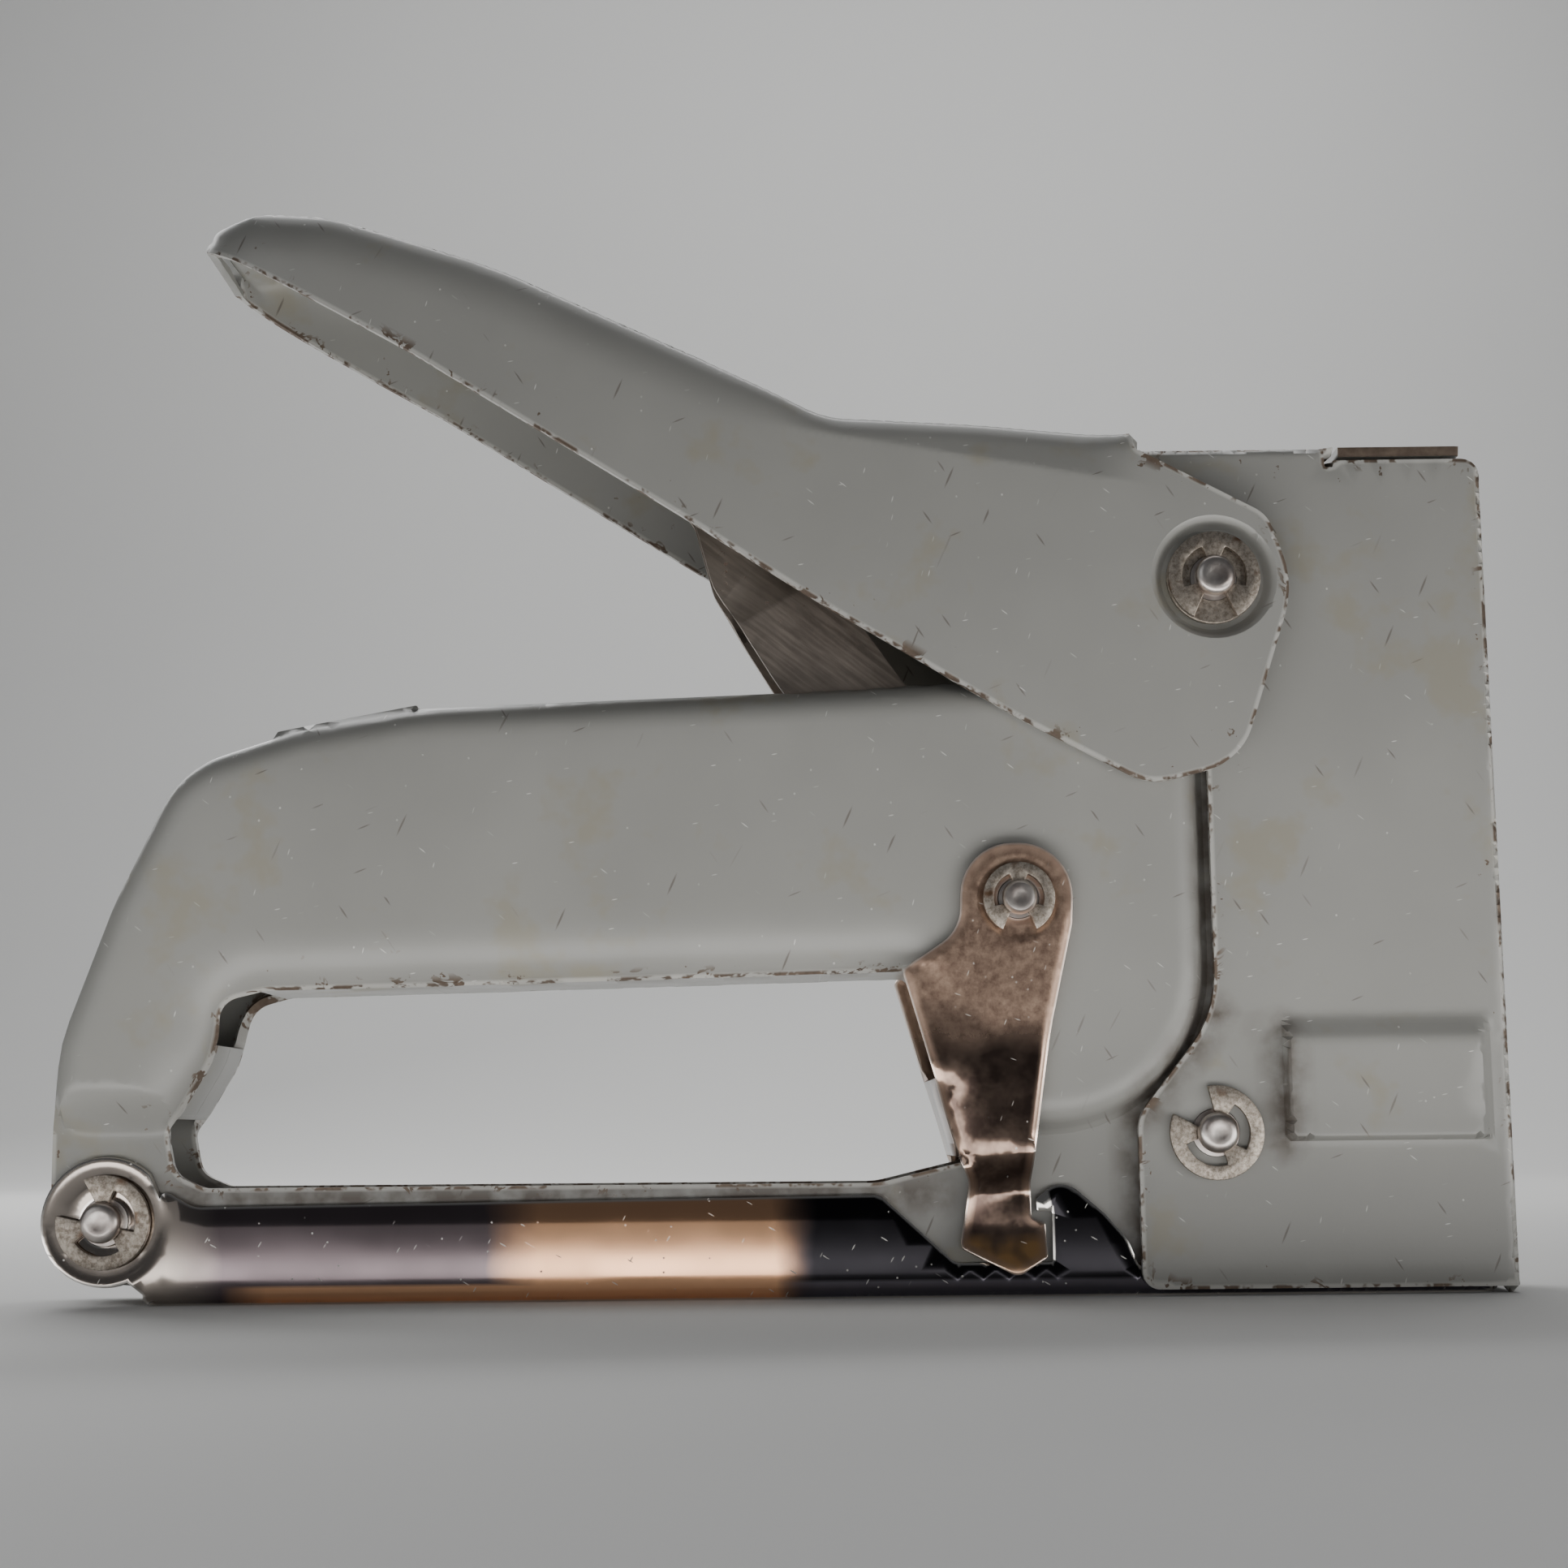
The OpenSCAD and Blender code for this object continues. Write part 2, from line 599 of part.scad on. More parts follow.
module plunger_block() {
    tip_fit = 0.12;
    mouth = rocker_tip_r + tip_fit;
    color([0.4, 0.4, 0.42]) {
        difference() {
            translate([plunger_x0, -head_in + 0.3, plunger_z0])
                cube([plunger_x1 - plunger_x0, 2 * head_in - 0.6, plunger_z1 - plunger_z0]);
            translate([plunger_x0 - 1, -head_in, rocker_tip.y - mouth])
                cube([rocker_tip_r + 6.6, 2 * head_in, 2 * mouth]);
        }
        // lug that carries the striker blade
        translate([plunger_x1, -lug_w / 2, plunger_z1 - lug_h]) cube([blade_x - plunger_x1, lug_w, lug_h]);
    }
}

module striker_blade() {
    color([0.7, 0.7, 0.7])
        translate([blade_x, -staple_w / 2, head_base_z + 0.4])
            cube([blade_t, staple_w, plunger_z1 - head_base_z - 0.4]);
}

seat_t = 3;

module power_spring() {
    spring_len = head_h - head_t - seat_fit - seat_t - plunger_z1;
    color([0.35, 0.35, 0.36]) translate([spring_x, 0, plunger_z1])
        coil(spring_d / 2 - spring_wire / 2, spring_wire / 2, spring_len, 8, 20, 8);
}

module spring_seat() {
    seat_z = head_h - head_t - seat_fit - seat_t;
    color([0.4, 0.4, 0.42]) {
        translate([spring_x, 0, seat_z]) cylinder(r = spring_d / 2 + 0.4, h = seat_t);
        translate([spring_x, 0, seat_z - 5]) cylinder(r = spring_d / 2 - spring_wire - 0.4, h = 5);
    }
}

// rubber block in the two pockets, which stops the plunger
module bumper_block() {
    low = [max(pocket_x0 + head_t, body_front_x) + 0.3,
        -(head_out + pocket_out - head_t - slide_fit), pocket_z + head_t + seat_fit];
    high = [plunger_x1, -low.y, pocket_z + pocket_h - head_t - seat_fit];
    color([0.25, 0.22, 0.2]) translate(low) cube(high - low);
}

// ---------- magazine ----------
hook_base = front_x - 44.6;
channel_end_x = guide_x + head_t - 0.2;
tab_gap = 0.9;
nose_z = 9.95;
recess_x = hook_base - 10.05;
recess_z = 4;

channel_side = rounded([
    [rear_hole.x + 5.5, 0], [channel_end_x, 0], [channel_end_x, 3.4], [hook_base, 3.4],
    [hook_base - 1.2, 6.5], [hook_base - 3.8, 9.5], [hook_base - 8.8, mag_h + 1.9],
    [recess_x - 1.9, nose_z + 1.4], [recess_x - 1.8, nose_z],
    [recess_x, nose_z], [recess_x, recess_z], [recess_x - 11.5, recess_z],
    [fulcrum.x - 16.8, mag_h], [rear_hole.x + 10, mag_h - 0.6], [rear_hole.x + 6.5, mag_h + 1.2]],
    [1, 0.3, 0.3, 0.8, 4, 3, 3, 0.5, 0.3, 0.3, 0.4, 1.5, 1.5, 4, 1]);

module magazine_channel() {
    color([0.75, 0.75, 0.76]) difference() {
        union() {
            both_sides() slab(mag_in, mag_out) polygon(channel_side);
            both_sides() bar(rear_hole, ear_r, mag_in, mag_out);
            translate([rear_hole.x + 6.5, -mag_out, 0])
                cube([channel_end_x - rear_hole.x - 6.5, 2 * mag_out, mag_t]);
        }
        bar(rear_hole, pin_d / 2 + pin_fit, -mag_out - 1, mag_out + 1);
    }
}

rail_x0 = rear_hole.x + 5.6;
rail_x1 = channel_end_x - 0.1;
rail_wall = 0.8;
rod_z = mag_t + rail_h * 0.55;
rod_r = 1.2;

module staple_rail() {
    color([0.6, 0.6, 0.6]) difference() {
        translate([rail_x0, -rail_out, mag_t]) cube([rail_x1 - rail_x0, 2 * rail_out, rail_h]);
        // slot for the pusher's foot, the spring and the rod, open at the top
        translate([rail_x0 + 2, -rail_out + rail_wall, mag_t + rail_wall])
            cube([rail_x1 - rail_x0 - 4, 2 * (rail_out - rail_wall), rail_h]);
        translate([rail_x0 - 1, 0, rod_z]) rotate([0, 90, 0]) cylinder(r = rod_r + pin_fit, h = 4);
        translate([rail_x1 - 3, 0, rod_z]) rotate([0, 90, 0]) cylinder(r = rod_r + pin_fit, h = 4);
    }
}

pusher_len = 12;
pusher_x1 = rail_x1 - 2.5;
pusher_x0 = pusher_x1 - pusher_len;

module pusher_guide_rod() {
    color("silver") translate([rail_x0 + 0.2, 0, rod_z])
        rotate([0, 90, 0]) cylinder(r = rod_r, h = rail_x1 - rail_x0 - 0.4);
}

module pusher() {
    inner = rail_out - rail_wall - seat_fit;
    cap_z = mag_t + rail_h + 0.2;
    color([0.55, 0.55, 0.57]) difference() {
        union() {
            // foot inside the rail
            translate([pusher_x0, -inner, mag_t + rail_wall + 0.2])
                cube([pusher_len, 2 * inner, cap_z - mag_t - rail_wall]);
            // cap and cheeks over the rail
            translate([pusher_x0, -staple_w / 2, cap_z]) cube([pusher_len, staple_w, 1]);
            both_sides() translate([pusher_x0, rail_out + 0.2, mag_t + 1.6])
                cube([pusher_len, staple_w / 2 - rail_out - 0.2, cap_z - mag_t - 1.1]);
        }
        translate([pusher_x0 - 1, 0, rod_z]) rotate([0, 90, 0])
            cylinder(r = rod_r + pin_fit, h = pusher_len + 2);
    }
}

module pusher_spring() {
    color([0.6, 0.6, 0.6]) translate([rail_x0 + 2.2, 0, rod_z]) rotate([0, 90, 0])
        coil(rod_r + 0.75, 0.35, pusher_x0 - rail_x0 - 2.4, 30, 10, 6);
}

// ---------- latch ----------
foot_in = mag_out + slide_fit;
web_top_z = 26;
web_low_z = 16.4;

function web_x(z) = fulcrum.x - 13.9 + (38.5 - z) * 0.285;

latch_arm = rounded([
    [web_x(web_low_z), web_low_z], [fulcrum.x + 1, web_low_z], [fulcrum.x + 1.3, 17],
    [fulcrum.x + 3.4, 30.9], [fulcrum.x + 6.3, latch_pin_z - 3], [fulcrum.x + 6.6, latch_pin_z + 6.6],
    [fulcrum.x - 6.6, latch_pin_z + 6.6], [fulcrum.x - 7.2, latch_pin_z - 1], [fulcrum.x - 13.9, 38.5]],
    [0.4, 0.3, 3, 30, 3, 6.2, 6.2, 8, 0.8]);
foot_plan = rounded([
    [fulcrum.x - 7.5, 5.9], [fulcrum.x - 0.8, 2.4], [fulcrum.x + 2.6, nose_z - tab_gap - 4.4],
    [fulcrum.x + 1.2, 13.2], [fulcrum.x - 5.7, 13.2]], [0.8, 1.2, 0.3, 0.5, 0.5]);

// one step of the neck between arm and foot, at the height z and the half-width y
module neck_step(y, z) {
    translate([fulcrum.x - 5.6, y, z]) cube([6.6, latch_t, 0.6]);
}

module latch_lever() {
    tab_x = recess_x - 1.2;
    tab_h = 4.2;
    tab_z = nose_z - tab_gap - tab_h;
    color([0.72, 0.66, 0.6]) difference() {
        union() {
            both_sides() slab(yoke_in, latch_out) polygon(latch_arm);
            both_sides() slab(foot_in, foot_in + latch_t) polygon(foot_plan);
            // neck that steps inward from the arm to the foot
            both_sides() hull() {
                neck_step(yoke_in, web_low_z - 0.2);
                neck_step(foot_in, 12.6);
            }
            // tab that catches under the magazine's nose
            both_sides() translate([tab_x - 1, mag_in, tab_z])
                cube([1.5, foot_in + latch_t - mag_in, tab_h]);
            both_sides() translate([fulcrum.x - 0.5, foot_in, tab_z])
                cube([tab_x - fulcrum.x + 0.5, latch_t, tab_h]);
            // cross web between the arms
            slab(-latch_out, latch_out) polygon([
                [web_x(web_low_z), web_low_z], [web_x(web_low_z) + latch_t, web_low_z],
                [web_x(web_top_z) + latch_t, web_top_z], [web_x(web_top_z), web_top_z]]);
        }
        bar(fulcrum, latch_pin_d / 2 + pin_fit, -latch_out - 1, latch_out + 1);
    }
}

module latch_spring() {
    wire = 0.45;
    coil_r = latch_pin_d / 2 + 1 + wire + 0.3;
    spring_y = rocker_out + slide_fit + 0.2;
    color([0.5, 0.5, 0.5]) {
        translate([fulcrum.x, spring_y, fulcrum.y]) rotate([-90, 0, 0])
            coil(coil_r, wire, 3.3, 3, 16, 6);
    }
}

body_shell_left();
body_shell_right();
head_housing();
front_guide();
lever();
lever_pivot_pin();
latch_pin();
front_pin();
rear_hinge_pin();
e_rings_large();
e_ring_small();
pivot_washers();
rocker();
plunger_block();
striker_blade();
power_spring();
spring_seat();
bumper_block();
latch_lever();
latch_spring();
magazine_channel();
staple_rail();
pusher();
pusher_spring();
pusher_guide_rod();
lever_pin_spacer();
latch_pin_spacers();
front_pin_spacers();
rear_pin_spacer();
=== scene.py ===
"""An all-metal hand staple gun: painted stampings, chromed magazine, latch, rocker, pins and springs.

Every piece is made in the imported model's frame, in metres, and rides on one of its bodies.
Outlines are written in millimetres in the X-Z plane, and heights are half-widths along Y.
"""
import json
import math
from functools import reduce

import bmesh
import bpy
import numpy as np
from mathutils import Euler, Matrix, Vector
from mathutils.geometry import delaunay_2d_cdt


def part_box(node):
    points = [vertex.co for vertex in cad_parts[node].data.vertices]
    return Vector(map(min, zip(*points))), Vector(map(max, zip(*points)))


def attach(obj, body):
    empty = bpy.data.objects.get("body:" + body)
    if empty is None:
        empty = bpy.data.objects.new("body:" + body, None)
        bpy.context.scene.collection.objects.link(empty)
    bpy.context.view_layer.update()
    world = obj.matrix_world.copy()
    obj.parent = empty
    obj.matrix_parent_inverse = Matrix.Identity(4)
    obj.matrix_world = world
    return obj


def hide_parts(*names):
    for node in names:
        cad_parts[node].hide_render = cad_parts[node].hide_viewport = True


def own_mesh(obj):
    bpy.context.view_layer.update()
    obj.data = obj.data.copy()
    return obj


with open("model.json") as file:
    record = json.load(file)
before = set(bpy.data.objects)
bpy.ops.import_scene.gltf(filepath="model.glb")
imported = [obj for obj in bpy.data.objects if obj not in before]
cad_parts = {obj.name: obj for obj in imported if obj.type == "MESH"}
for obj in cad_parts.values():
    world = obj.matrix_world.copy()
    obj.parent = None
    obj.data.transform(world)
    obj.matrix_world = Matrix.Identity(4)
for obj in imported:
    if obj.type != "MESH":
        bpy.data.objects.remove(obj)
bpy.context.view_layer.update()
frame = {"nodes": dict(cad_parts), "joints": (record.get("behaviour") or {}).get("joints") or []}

bl_info = {
    "name": "Hand staple gun",
    "version": (1, 0, 0),
    "blender": (4, 5, 0),
    "location": "3D View > Sidebar > Staple gun",
    "description": "Builds the visible pieces and finishes of an all-metal hand staple gun",
    "category": "Add Mesh",
}

MM = 0.001
FAR_AWAY = 9.0           # stored where no worn edge, and no dirty and shaded line, is near, in millimetres


# ---------- places, read from the imported frame ----------
def joint(name):
    return next(j for j in frame["joints"] if j["name"] == name)


def joint_place(name):
    """X and Z of a hinge, in millimetres."""
    place = joint(name)["pos_m"]
    return np.array([place[0], place[2]]) / MM


def node_box(node):
    """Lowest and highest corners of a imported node, in millimetres."""
    low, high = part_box(node)
    return np.array(low) / MM, np.array(high) / MM


def node_middle(node):
    low, high = node_box(node)
    return np.array([low[0] + high[0], low[2] + high[2]]) / 2


PIVOT = joint_place("lever_swing")
LATCH_PIN = joint_place("latch_swing")
REAR_PIN = joint_place("magazine_swing")
FRONT_PIN = node_middle("front_pin")
FRONT = node_box("head_housing")[1][0]
REAR = node_box("magazine_channel")[0][0]
HEAD_TOP = node_box("head_housing")[1][2]
HEAD_LOW = node_box("head_housing")[0][2]
CHANNEL_END = FRONT - 3.05
# half-widths
BULGE_OUT = node_box("body_shell_right")[1][1]
FLANGE_OUT = 7.4
HEAD_OUT = 10.0
POCKET_OUT = node_box("head_housing")[1][1]
LEVER_OUT = 13.1
LEVER_WIDE = node_box("lever")[1][1]
LATCH_OUT = node_box("latch_lever")[1][1]
CHANNEL_OUT = node_box("magazine_channel")[1][1]
ROCKER_OUT = node_box("rocker")[1][1]
# thickness of the sheets; the lever, channel and latch are a little thinner, to work freely
SHEET = 1.2
LEVER_SHEET, CHANNEL_SHEET, LATCH_SHEET = 1.0, 0.96, 0.8
# radii of the pins, and the room that their holes leave round them
PIN, LATCH_PIN_R = 2.78, 2.38
ROOM = 0.07


# ---------- outlines ----------
def at(place, *offsets):
    """Points given as offsets from a place."""
    return [(place[0] + x, place[1] + z) for x, z in offsets]


def arc(centre, radius, start, stop, step=7.0):
    """Points on an arc, with angles in degrees."""
    count = max(2, round(abs(stop - start) / step))
    angles = np.radians(np.linspace(start, stop, count + 1))
    return [(centre[0] + radius * math.cos(a), centre[1] + radius * math.sin(a)) for a in angles]


def rounded(points, radii, step=9.0):
    """A closed outline with its corners rounded."""
    out = []
    count = len(points)
    for i, radius in enumerate(radii):
        before, here, after = (np.array(points[(i + k) % count], float) for k in (-1, 0, 1))
        u = (here - before) / np.linalg.norm(here - before)
        w = (after - here) / np.linalg.norm(after - here)
        angle = math.acos(max(-1.0, min(1.0, float(u @ w))))
        if angle < math.radians(2) or radius <= 0:
            out.append(tuple(here))
            continue
        side = 1.0 if u[0] * w[1] - u[1] * w[0] >= 0 else -1.0
        start = here - u * radius * math.tan(angle / 2)
        centre = start + side * radius * np.array([-u[1], u[0]])
        arm = start - centre
        for k in range(int(math.ceil(math.degrees(angle) / step)) + 1):
            a = side * angle * k / math.ceil(math.degrees(angle) / step)
            c, s = math.cos(a), math.sin(a)
            out.append((centre[0] + c * arm[0] - s * arm[1], centre[1] + s * arm[0] + c * arm[1]))
    return out


def dense(line, longest, closed=True):
    """The same line with its long stretches divided."""
    out = []
    last = len(line) if closed else len(line) - 1
    for i in range(last):
        a, b = np.array(line[i], float), np.array(line[(i + 1) % len(line)], float)
        parts = max(1, int(math.ceil(np.linalg.norm(b - a) / longest)))
        out += [tuple(a + (b - a) * k / parts) for k in range(parts)]
    if not closed:
        out.append(tuple(line[-1]))
    return out


def stretches(loop, wanted):
    """The open stretches of a closed outline whose points pass a test."""
    loop = dense(loop, 1.5)
    kept = [wanted(x, z) for x, z in loop]
    if all(kept):
        return [loop + loop[:1]]
    start = kept.index(False)
    out, run = [], []
    for k in range(len(loop) + 1):
        i = (start + k) % len(loop)
        if kept[i]:
            run.append(loop[i])
        else:
            if len(run) > 1:
                out.append(run)
            run = []
    return out


def gap_to(points, lines):
    """Distance from each point to the nearest of several open lines."""
    a = np.concatenate([np.array(line[:-1], float) for line in lines])
    b = np.concatenate([np.array(line[1:], float) for line in lines])
    along = b - a
    size = np.maximum((along ** 2).sum(1), 1e-12)
    out = np.empty(len(points))
    for first in range(0, len(points), 2000):
        p = points[first:first + 2000, None, :]
        t = np.clip(((p - a) * along).sum(2) / size, 0, 1)
        out[first:first + 2000] = np.sqrt((((a + t[..., None] * along) - p) ** 2).sum(2)).min(1)
    return out


def within(points, loop):
    """True for points inside a closed outline."""
    a = np.array(loop, float)
    b = np.roll(a, -1, axis=0)
    x, z = points[:, :1], points[:, 1:2]
    crosses = (a[:, 1] > z) != (b[:, 1] > z)
    rise = np.where(np.abs(b[:, 1] - a[:, 1]) < 1e-12, 1e-12, b[:, 1] - a[:, 1])
    left = x < (b[:, 0] - a[:, 0]) * (z - a[:, 1]) / rise + a[:, 0]
    return (crosses & left).sum(1) % 2 == 1


def closed(loop):
    return list(loop) + [loop[0]]


def roll(distance, width):
    """Quarter-round profile: 0 on the edge, upright there, and 1 from width on."""
    u = np.clip(distance / width, 0, 1)
    return np.sqrt(1 - (1 - u) ** 2)


def beside(p, a, b):
    """Signed distance from a line: positive to the left of its direction."""
    along = np.array(b, float) - np.array(a, float)
    along /= np.linalg.norm(along)
    off = p - np.array(a, float)
    return along[0] * off[:, 1] - along[1] * off[:, 0]


def swell(distance, width):
    """Soft step from 0 to 1 over a width."""
    u = np.clip(distance / width, 0, 1)
    return u * u * (3 - 2 * u)


def hole(centre):
    """The round hole that a pin passes through."""
    return arc(centre, (LATCH_PIN_R if centre is LATCH_PIN else PIN) + ROOM, 0, 350, 10)


# ---------- meshes ----------
def new_piece(name, mesh):
    """Turns a working mesh into an object in the scene."""
    data = bpy.data.meshes.new(name)
    mesh.to_mesh(data)
    mesh.free()
    piece = bpy.data.objects.new(name, data)
    bpy.context.scene.collection.objects.link(piece)
    return piece


# ---------- pressed sheets ----------
def sprinkle(outline, holes, guides, grid):
    """Points for a pressed sheet: its borders, rows along the guide lines, and a coarse grid."""
    from_border, apart = 0.17, 0.25
    borders = [dense(outline, 1.6)] + [dense(h, 1.0) for h in holes]
    border_points = [p for b in borders for p in b]
    rows = []
    for line, offsets in guides:
        ends = np.array(line, float)
        ahead = np.roll(ends, -1, axis=0)
        ahead[-1] = ends[-1] + (ends[-1] - ends[-2])
        along = ahead - ends
        along /= np.maximum(np.linalg.norm(along, axis=1), 1e-9)[:, None]
        left = np.stack([-along[:, 1], along[:, 0]], axis=1)
        for d in sorted(offsets, key=abs):
            rows += [tuple(q) for q in ends + d * left]
    low, high = np.min(outline, axis=0), np.max(outline, axis=0)
    for i, z in enumerate(np.arange(low[1], high[1], grid)):
        rows += [(x, z) for x in np.arange(low[0] + (i % 2) * grid / 2, high[0], grid)]
    rows = np.array(rows)
    rows = rows[within(rows, outline)]
    for hole in holes:
        rows = rows[~within(rows, hole)]
    rows = rows[gap_to(rows, [closed(b) for b in borders]) > from_border]
    cell, used, kept = 0.3, {}, []
    for p in border_points:
        used.setdefault((int(p[0] // cell), int(p[1] // cell)), []).append(p)
    for x, z in rows:
        i, k = int(x // cell), int(z // cell)
        near = [q for di in (-1, 0, 1) for dk in (-1, 0, 1) for q in used.get((i + di, k + dk), ())]
        if all((q[0] - x) ** 2 + (q[1] - z) ** 2 > apart ** 2 for q in near):
            used.setdefault((i, k), []).append((x, z))
            kept.append((x, z))
    return borders, border_points, kept


def ring_rows(centre, step, *radii):
    """Guide rows round a pin."""
    return [(arc(centre, r, 0, 360, step), (0.0,)) for r in radii]


def two_sided(outline, centre, height, guides, fold, grid=3.0, wear=None):
    """The same sheet, with one pin hole, pressed on both sides of the tool."""
    pressing = Pressing()
    for side in (-1, 1):
        pressing.add(outline, [hole(centre)], height, guides, side, fold, grid, wear)
    return pressing


class Pressing:
    """A sheet pressed to a height over the X-Z plane, with walls folded down from its border."""

    def __init__(self):
        self.mesh = bmesh.new()
        self.edge = self.mesh.verts.layers.float.new("edge")
        # distance to the lines that get soiling and painted shade
        self.grime_and_shade = self.mesh.verts.layers.float.new("grime_and_shade")

    def add(self, outline, holes, height, guides, side=-1, fold=None, grid=3.0, wear=None, shade_and_soil_lines=None):
        """Adds one sheet. fold(x, z) gives how deep a wall goes there, as a half-width, or None."""
        borders, border_points, inner = sprinkle(outline, holes, guides, grid)
        verts = [Vector(p) for p in border_points + inner]
        edges, first = [], 0
        for b in borders:
            edges += [(first + i, first + (i + 1) % len(b)) for i in range(len(b))]
            first += len(b)
        flat, _, faces, _, _, _ = delaunay_2d_cdt(verts, edges, [], 0, 1e-5)
        points = np.array([(v.x, v.y) for v in flat])
        faces = np.array(faces)
        middle = points[faces].mean(1)
        inside = within(middle, outline)
        for hole in holes:
            inside &= ~within(middle, hole)
        faces = faces[inside]
        y = height(points)
        wear_lines = wear if wear is not None else [closed(b) for b in borders]
        edge = gap_to(points, wear_lines) if wear_lines else np.full(len(points), FAR_AWAY)
        grime_and_shade = gap_to(points, shade_and_soil_lines) if shade_and_soil_lines else np.full(len(points), FAR_AWAY)
        made = {}

        def vertex(i):
            if i not in made:
                v = self.mesh.verts.new((points[i][0] * MM, side * y[i] * MM, points[i][1] * MM))
                v[self.edge], v[self.grime_and_shade] = edge[i], grime_and_shade[i]
                made[i] = v
            return made[i]

        count = {}
        for a, b, c in faces:
            u, w = points[b] - points[a], points[c] - points[a]
            order = (a, b, c) if (u[0] * w[1] - u[1] * w[0]) * -side > 0 else (a, c, b)
            self.mesh.faces.new([vertex(i) for i in order])
            for i, k in ((a, b), (b, c), (c, a)):
                count[(min(i, k), max(i, k))] = count.get((min(i, k), max(i, k)), 0) + 1
        if fold:
            self.fold_down(points, y, [e for e, n in count.items() if n == 1], made, side, fold)

    def fold_down(self, points, y, border, made, side, fold):
        low = {}

        def below(i, depth):
            key = (i, round(depth, 4))
            if key not in low:
                v = self.mesh.verts.new((points[i][0] * MM, side * depth * MM, points[i][1] * MM))
                v[self.edge], v[self.grime_and_shade] = abs(y[i] - depth) + 0.3, FAR_AWAY
                low[key] = v
            return low[key]

        for i, k in border:
            depth = fold(*((points[i] + points[k]) / 2))
            if depth is None:
                continue
            cut = isinstance(depth, tuple)
            depth = depth[0] if cut else depth
            face = next(f for f in made[i].link_faces if made[k] in f.verts[:])
            order = [v for v in face.verts]
            turn = order.index(made[i])
            ahead = order[(turn + 1) % len(order)] is made[k]
            a, b = (i, k) if ahead else (k, i)
            if cut:
                early = depth + 0.35
                self.mesh.faces.new([made[b], made[a], below(a, early), below(b, early)])
                last = [below(b, early), below(a, early), below(a, depth), below(b, depth)]
                for v in last[2:]:
                    v[self.edge] = -1.0
                self.mesh.faces.new(last)
                continue
            self.mesh.faces.new([made[b], made[a], below(a, depth), below(b, depth)])

    def finish(self, name, thickness, bevel=0.12, weld=True):
        """Closes the sheet to its thickness and returns the object."""
        if weld:
            middle = [v for v in self.mesh.verts if abs(v.co.y) < 1e-7]
            bmesh.ops.remove_doubles(self.mesh, verts=middle, dist=2e-5)
        self.thicken(thickness * MM)
        piece = new_piece(name, self.mesh)
        settle(piece, bevel)
        return piece

    def thicken(self, thickness):
        """Adds the inner skin and the rims between the two skins."""
        faces = list(self.mesh.faces)
        border = [e for e in self.mesh.edges if len(e.link_faces) == 1]
        inner = {}
        self.mesh.normal_update()
        for v in list(self.mesh.verts):
            if not v.link_faces:
                self.mesh.verts.remove(v)
                continue
            normal = Vector((0, 0, 0))
            for loop in v.link_loops:
                normal += loop.face.normal * loop.calc_angle()
            normal.normalize()
            lean = min(max(normal.dot(f.normal), 0.0) for f in v.link_faces)
            made = self.mesh.verts.new(v.co - normal * thickness / max(lean, 0.7))
            made[self.edge], made[self.grime_and_shade] = v[self.edge], v[self.grime_and_shade]
            inner[v] = made
        for e in border:
            face = e.link_faces[0]
            a, b = e.verts
            order = list(face.verts)
            if order[(order.index(a) + 1) % len(order)] is not b:
                a, b = b, a
            self.mesh.faces.new([b, a, inner[a], inner[b]])
        for f in faces:
            self.mesh.faces.new([inner[v] for v in reversed(f.verts[:])])


def settle(piece, bevel=0.12, segments=2, sharp=32.0):
    """Breaks the sharp edges a little, applies every modifier and shades the result."""
    if bevel:
        edge = piece.modifiers.new("edges", "BEVEL")
        edge.width = bevel * MM
        edge.segments = segments
        edge.limit_method = "ANGLE"
        edge.angle_limit = math.radians(48)
        edge.use_clamp_overlap = True
    graph = bpy.context.evaluated_depsgraph_get()
    mesh = bpy.data.meshes.new_from_object(piece.evaluated_get(graph))
    piece.modifiers.clear()
    piece.data = mesh
    mesh.shade_smooth()
    mesh.set_sharp_from_angle(angle=math.radians(sharp))


def lathe(name, profile, centre, steps=48):
    """A solid of revolution about Y. The profile is a list of (radius, y) in millimetres."""
    mesh = bmesh.new()
    rings = []
    for radius, y in profile:
        if radius < 1e-6:
            rings.append([mesh.verts.new((centre[0] * MM, y * MM, centre[1] * MM))])
            continue
        angles = [2 * math.pi * i / steps for i in range(steps)]
        rings.append([mesh.verts.new(((centre[0] + radius * math.cos(a)) * MM, y * MM,
                                      (centre[1] + radius * math.sin(a)) * MM)) for a in angles])
    for low, high in zip(rings, rings[1:] + ([rings[0]] if profile[0][0] > 1e-6 else [])):
        for i in range(steps):
            k = (i + 1) % steps
            corners = [low[i % len(low)], low[k % len(low)], high[k % len(high)], high[i % len(high)]]
            unique = list(dict.fromkeys(corners))
            if len(unique) > 2:
                mesh.faces.new(unique)
    bmesh.ops.recalc_face_normals(mesh, faces=mesh.faces)
    return new_piece(name, mesh)


